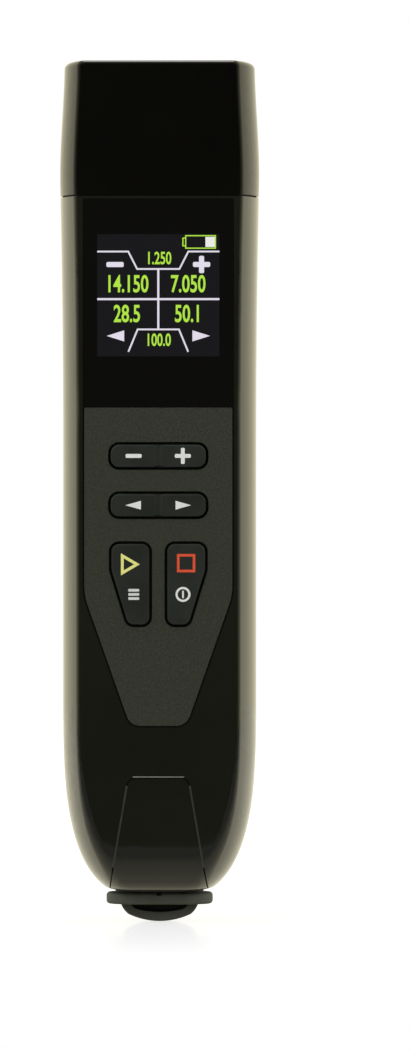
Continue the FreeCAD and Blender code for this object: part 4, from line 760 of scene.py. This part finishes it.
def floor_material():
    """White card: diffuse under the lamps, with light of its own for the camera so that it stays white, a
    warmer one for gloss that rises from the card before the stick to the card behind it, and a mirror share
    that gives the faint reflection under the stick."""
    material, tree, output, place = blank_material("white_card_floor")
    path = add(tree, "ShaderNodeLightPath")
    mirrored = add(tree, "ShaderNodeMath", {0: path.outputs["Is Glossy Ray"],
                                            1: path.outputs["Is Transmission Ray"]}, operation="MAXIMUM")
    speck = add(tree, "ShaderNodeTexNoise", {"Vector": place, "Scale": per_size(CARD_FIBRE)})
    tint = ramp(tree, speck.outputs["Fac"], [(0.0, "#747474"), (1.0, "#787878")])
    card = add(tree, "ShaderNodeBsdfDiffuse", {"Color": tint})
    depth = add(tree, "ShaderNodeSeparateXYZ", {"Vector": place}).outputs["Y"]
    rise = add(tree, "ShaderNodeMapRange", {
        "Value": depth, "From Min": FLOOR_DIM_FROM, "From Max": FLOOR_WHITE_FROM,
        "To Min": 0.0, "To Max": FLOOR_MIRRORED}, interpolation_type="SMOOTHSTEP")
    dimmed = add(tree, "ShaderNodeMath", {0: mirrored.outputs[0], 1: rise.outputs["Result"]},
                 operation="MULTIPLY")
    glow = add(tree, "ShaderNodeMath", {
        0: path.outputs["Is Camera Ray"], 1: FLOOR_GLOW, 2: dimmed.outputs[0]}, operation="MULTIPLY_ADD")
    warm = add(tree, "ShaderNodeMix", {"Factor": mirrored.outputs[0], "A": WHITE, "B": linear(ROOM_TINT)},
               data_type="RGBA")
    light = add(tree, "ShaderNodeEmission", {"Color": warm.outputs["Result"], "Strength": glow.outputs[0]})
    both = add(tree, "ShaderNodeAddShader")
    tree.links.new(card.outputs[0], both.inputs[0])
    tree.links.new(light.outputs[0], both.inputs[1])
    mirror = add(tree, "ShaderNodeBsdfGlossy", {"Roughness": MIRROR_ROUGHNESS})
    away = add(tree, "ShaderNodeVectorMath", {0: place}, operation="LENGTH").outputs["Value"]
    fade = add(tree, "ShaderNodeMapRange", {
        "Value": away, "From Min": 0.0, "From Max": MIRROR_REACH, "To Min": MIRROR_SHARE, "To Max": 0.0},
        interpolation_type="SMOOTHSTEP")
    surface = add(tree, "ShaderNodeMixShader", {"Fac": fade.outputs["Result"]})
    tree.links.new(both.outputs[0], surface.inputs[1])
    tree.links.new(mirror.outputs[0], surface.inputs[2])
    finish_material(tree, output, surface)
    return material


def studio_world():
    """White for the camera. Gloss sees white behind and beside the stick and a dark room before it, and
    diffuse surfaces get one even level."""
    world = bpy.data.worlds.new("studio")
    bpy.context.scene.world = world
    world.use_nodes = True
    tree = world.node_tree
    tree.nodes.clear()
    output = add(tree, "ShaderNodeOutputWorld")
    path = add(tree, "ShaderNodeLightPath")
    direction = add(tree, "ShaderNodeTexCoord").outputs["Generated"]
    depth = add(tree, "ShaderNodeSeparateXYZ", {"Vector": direction}).outputs["Y"]
    beside = add(tree, "ShaderNodeMapRange", {
        "Value": depth, "From Min": ROOM_DARK_FROM, "From Max": ROOM_WHITE_FROM,
        "To Min": ROOM_DARK, "To Max": 1.0}, interpolation_type="SMOOTHSTEP")
    mirrored = add(tree, "ShaderNodeMath", {
        0: path.outputs["Is Glossy Ray"], 1: path.outputs["Is Transmission Ray"]}, operation="MAXIMUM")
    level = add(tree, "ShaderNodeMix", {
        "Factor": mirrored.outputs[0], "A": AMBIENT, "B": beside.outputs["Result"]}, data_type="FLOAT")
    seen = add(tree, "ShaderNodeMix", {
        "Factor": path.outputs["Is Camera Ray"], "A": level.outputs["Result"], "B": 1.0}, data_type="FLOAT")
    warm = add(tree, "ShaderNodeMix", {"Factor": mirrored.outputs[0], "A": WHITE, "B": linear(ROOM_TINT)},
               data_type="RGBA")
    background = add(tree, "ShaderNodeBackground", {
        "Color": warm.outputs["Result"], "Strength": seen.outputs["Result"]})
    tree.links.new(background.outputs[0], output.inputs["Surface"])


def soft_lamp(name, turn, lift, away, size, power, mirrored):
    """A square lamp away from the stick's middle, turned about Z from the front and lifted, facing it. A lamp
    that isn't mirrored lights the gloss without showing its own square in it."""
    lamp = bpy.data.lights.new(name, "AREA")
    lamp.shape = "SQUARE"
    lamp.size = size
    lamp.energy = power
    holder = bpy.data.objects.new(name, lamp)
    bpy.context.scene.collection.objects.link(holder)
    turn, lift = math.radians(turn), math.radians(lift)
    holder.location = (away * math.sin(turn) * math.cos(lift), -away * math.cos(turn) * math.cos(lift),
                       CAMERA_HEIGHT + away * math.sin(lift))
    holder.rotation_euler = (math.radians(90) - lift, 0, turn)
    holder.visible_glossy = mirrored


WHITE = (1.0, 1.0, 1.0, 1.0)
CARD_FIBRE = 0.8                                   # millimetres
FLOOR_GLOW = 1.02                                  # the card's own light for the camera
FLOOR_MIRRORED = 0.9                               # and for gloss, behind the stick
FLOOR_DIM_FROM, FLOOR_WHITE_FROM = -0.12, 0.04     # the metres over which it rises to that
MIRROR_SHARE = 0.27
MIRROR_REACH = 0.3                                 # metres from the stick at which the mirror share ends
MIRROR_ROUGHNESS = 0.12
FLOOR_WIDTH = 2.0
FLOOR_FRONT, FLOOR_BACK = -0.3, 1.4
AMBIENT = 0.5
ROOM_DARK = 0.06
ROOM_DARK_FROM = -0.72                             # world directions' y where gloss sees the dark room
ROOM_WHITE_FROM = 0.4                              # and where it sees white
ROOM_TINT = "#fbf5d4"

floor_mesh = bpy.data.meshes.new("floor")
floor_corners = [(side * FLOOR_WIDTH / 2, y, 0) for y in (FLOOR_FRONT, FLOOR_BACK) for side in (-1, 1)]
floor_mesh.from_pydata(floor_corners, [], [(0, 1, 3, 2)])
floor_mesh.materials.append(floor_material())
floor = bpy.data.objects.new("floor", floor_mesh)
bpy.context.scene.collection.objects.link(floor)

studio_world()
# degrees round and up, then metres away, metres across and watts
soft_lamp("key_lamp", -52, 38, 1.3, 1.1, 8.0, mirrored=False)
soft_lamp("fill_lamp", 55, 30, 1.4, 1.1, 6.0, mirrored=False)
soft_lamp("top_lamp", 180, 72, 1.2, 0.5, 4.0, mirrored=True)

camera_data = bpy.data.cameras.new("camera")
camera_data.sensor_fit = "VERTICAL"
camera_data.sensor_height = SENSOR
camera_data.lens = SENSOR * CAMERA_AWAY / VIEW_HEIGHT
camera_data.shift_x = SHIFT_X
camera_data.shift_y = SHIFT_Y
camera = bpy.data.objects.new("camera", camera_data)
bpy.context.scene.collection.objects.link(camera)
camera.location = (CAMERA_AWAY * math.sin(CAMERA_TURN), -CAMERA_AWAY * math.cos(CAMERA_TURN), CAMERA_HEIGHT)
camera.rotation_euler = (math.radians(90), 0, CAMERA_TURN)
bpy.context.scene.camera = camera

bpy.context.scene.view_settings.view_transform = "Standard"
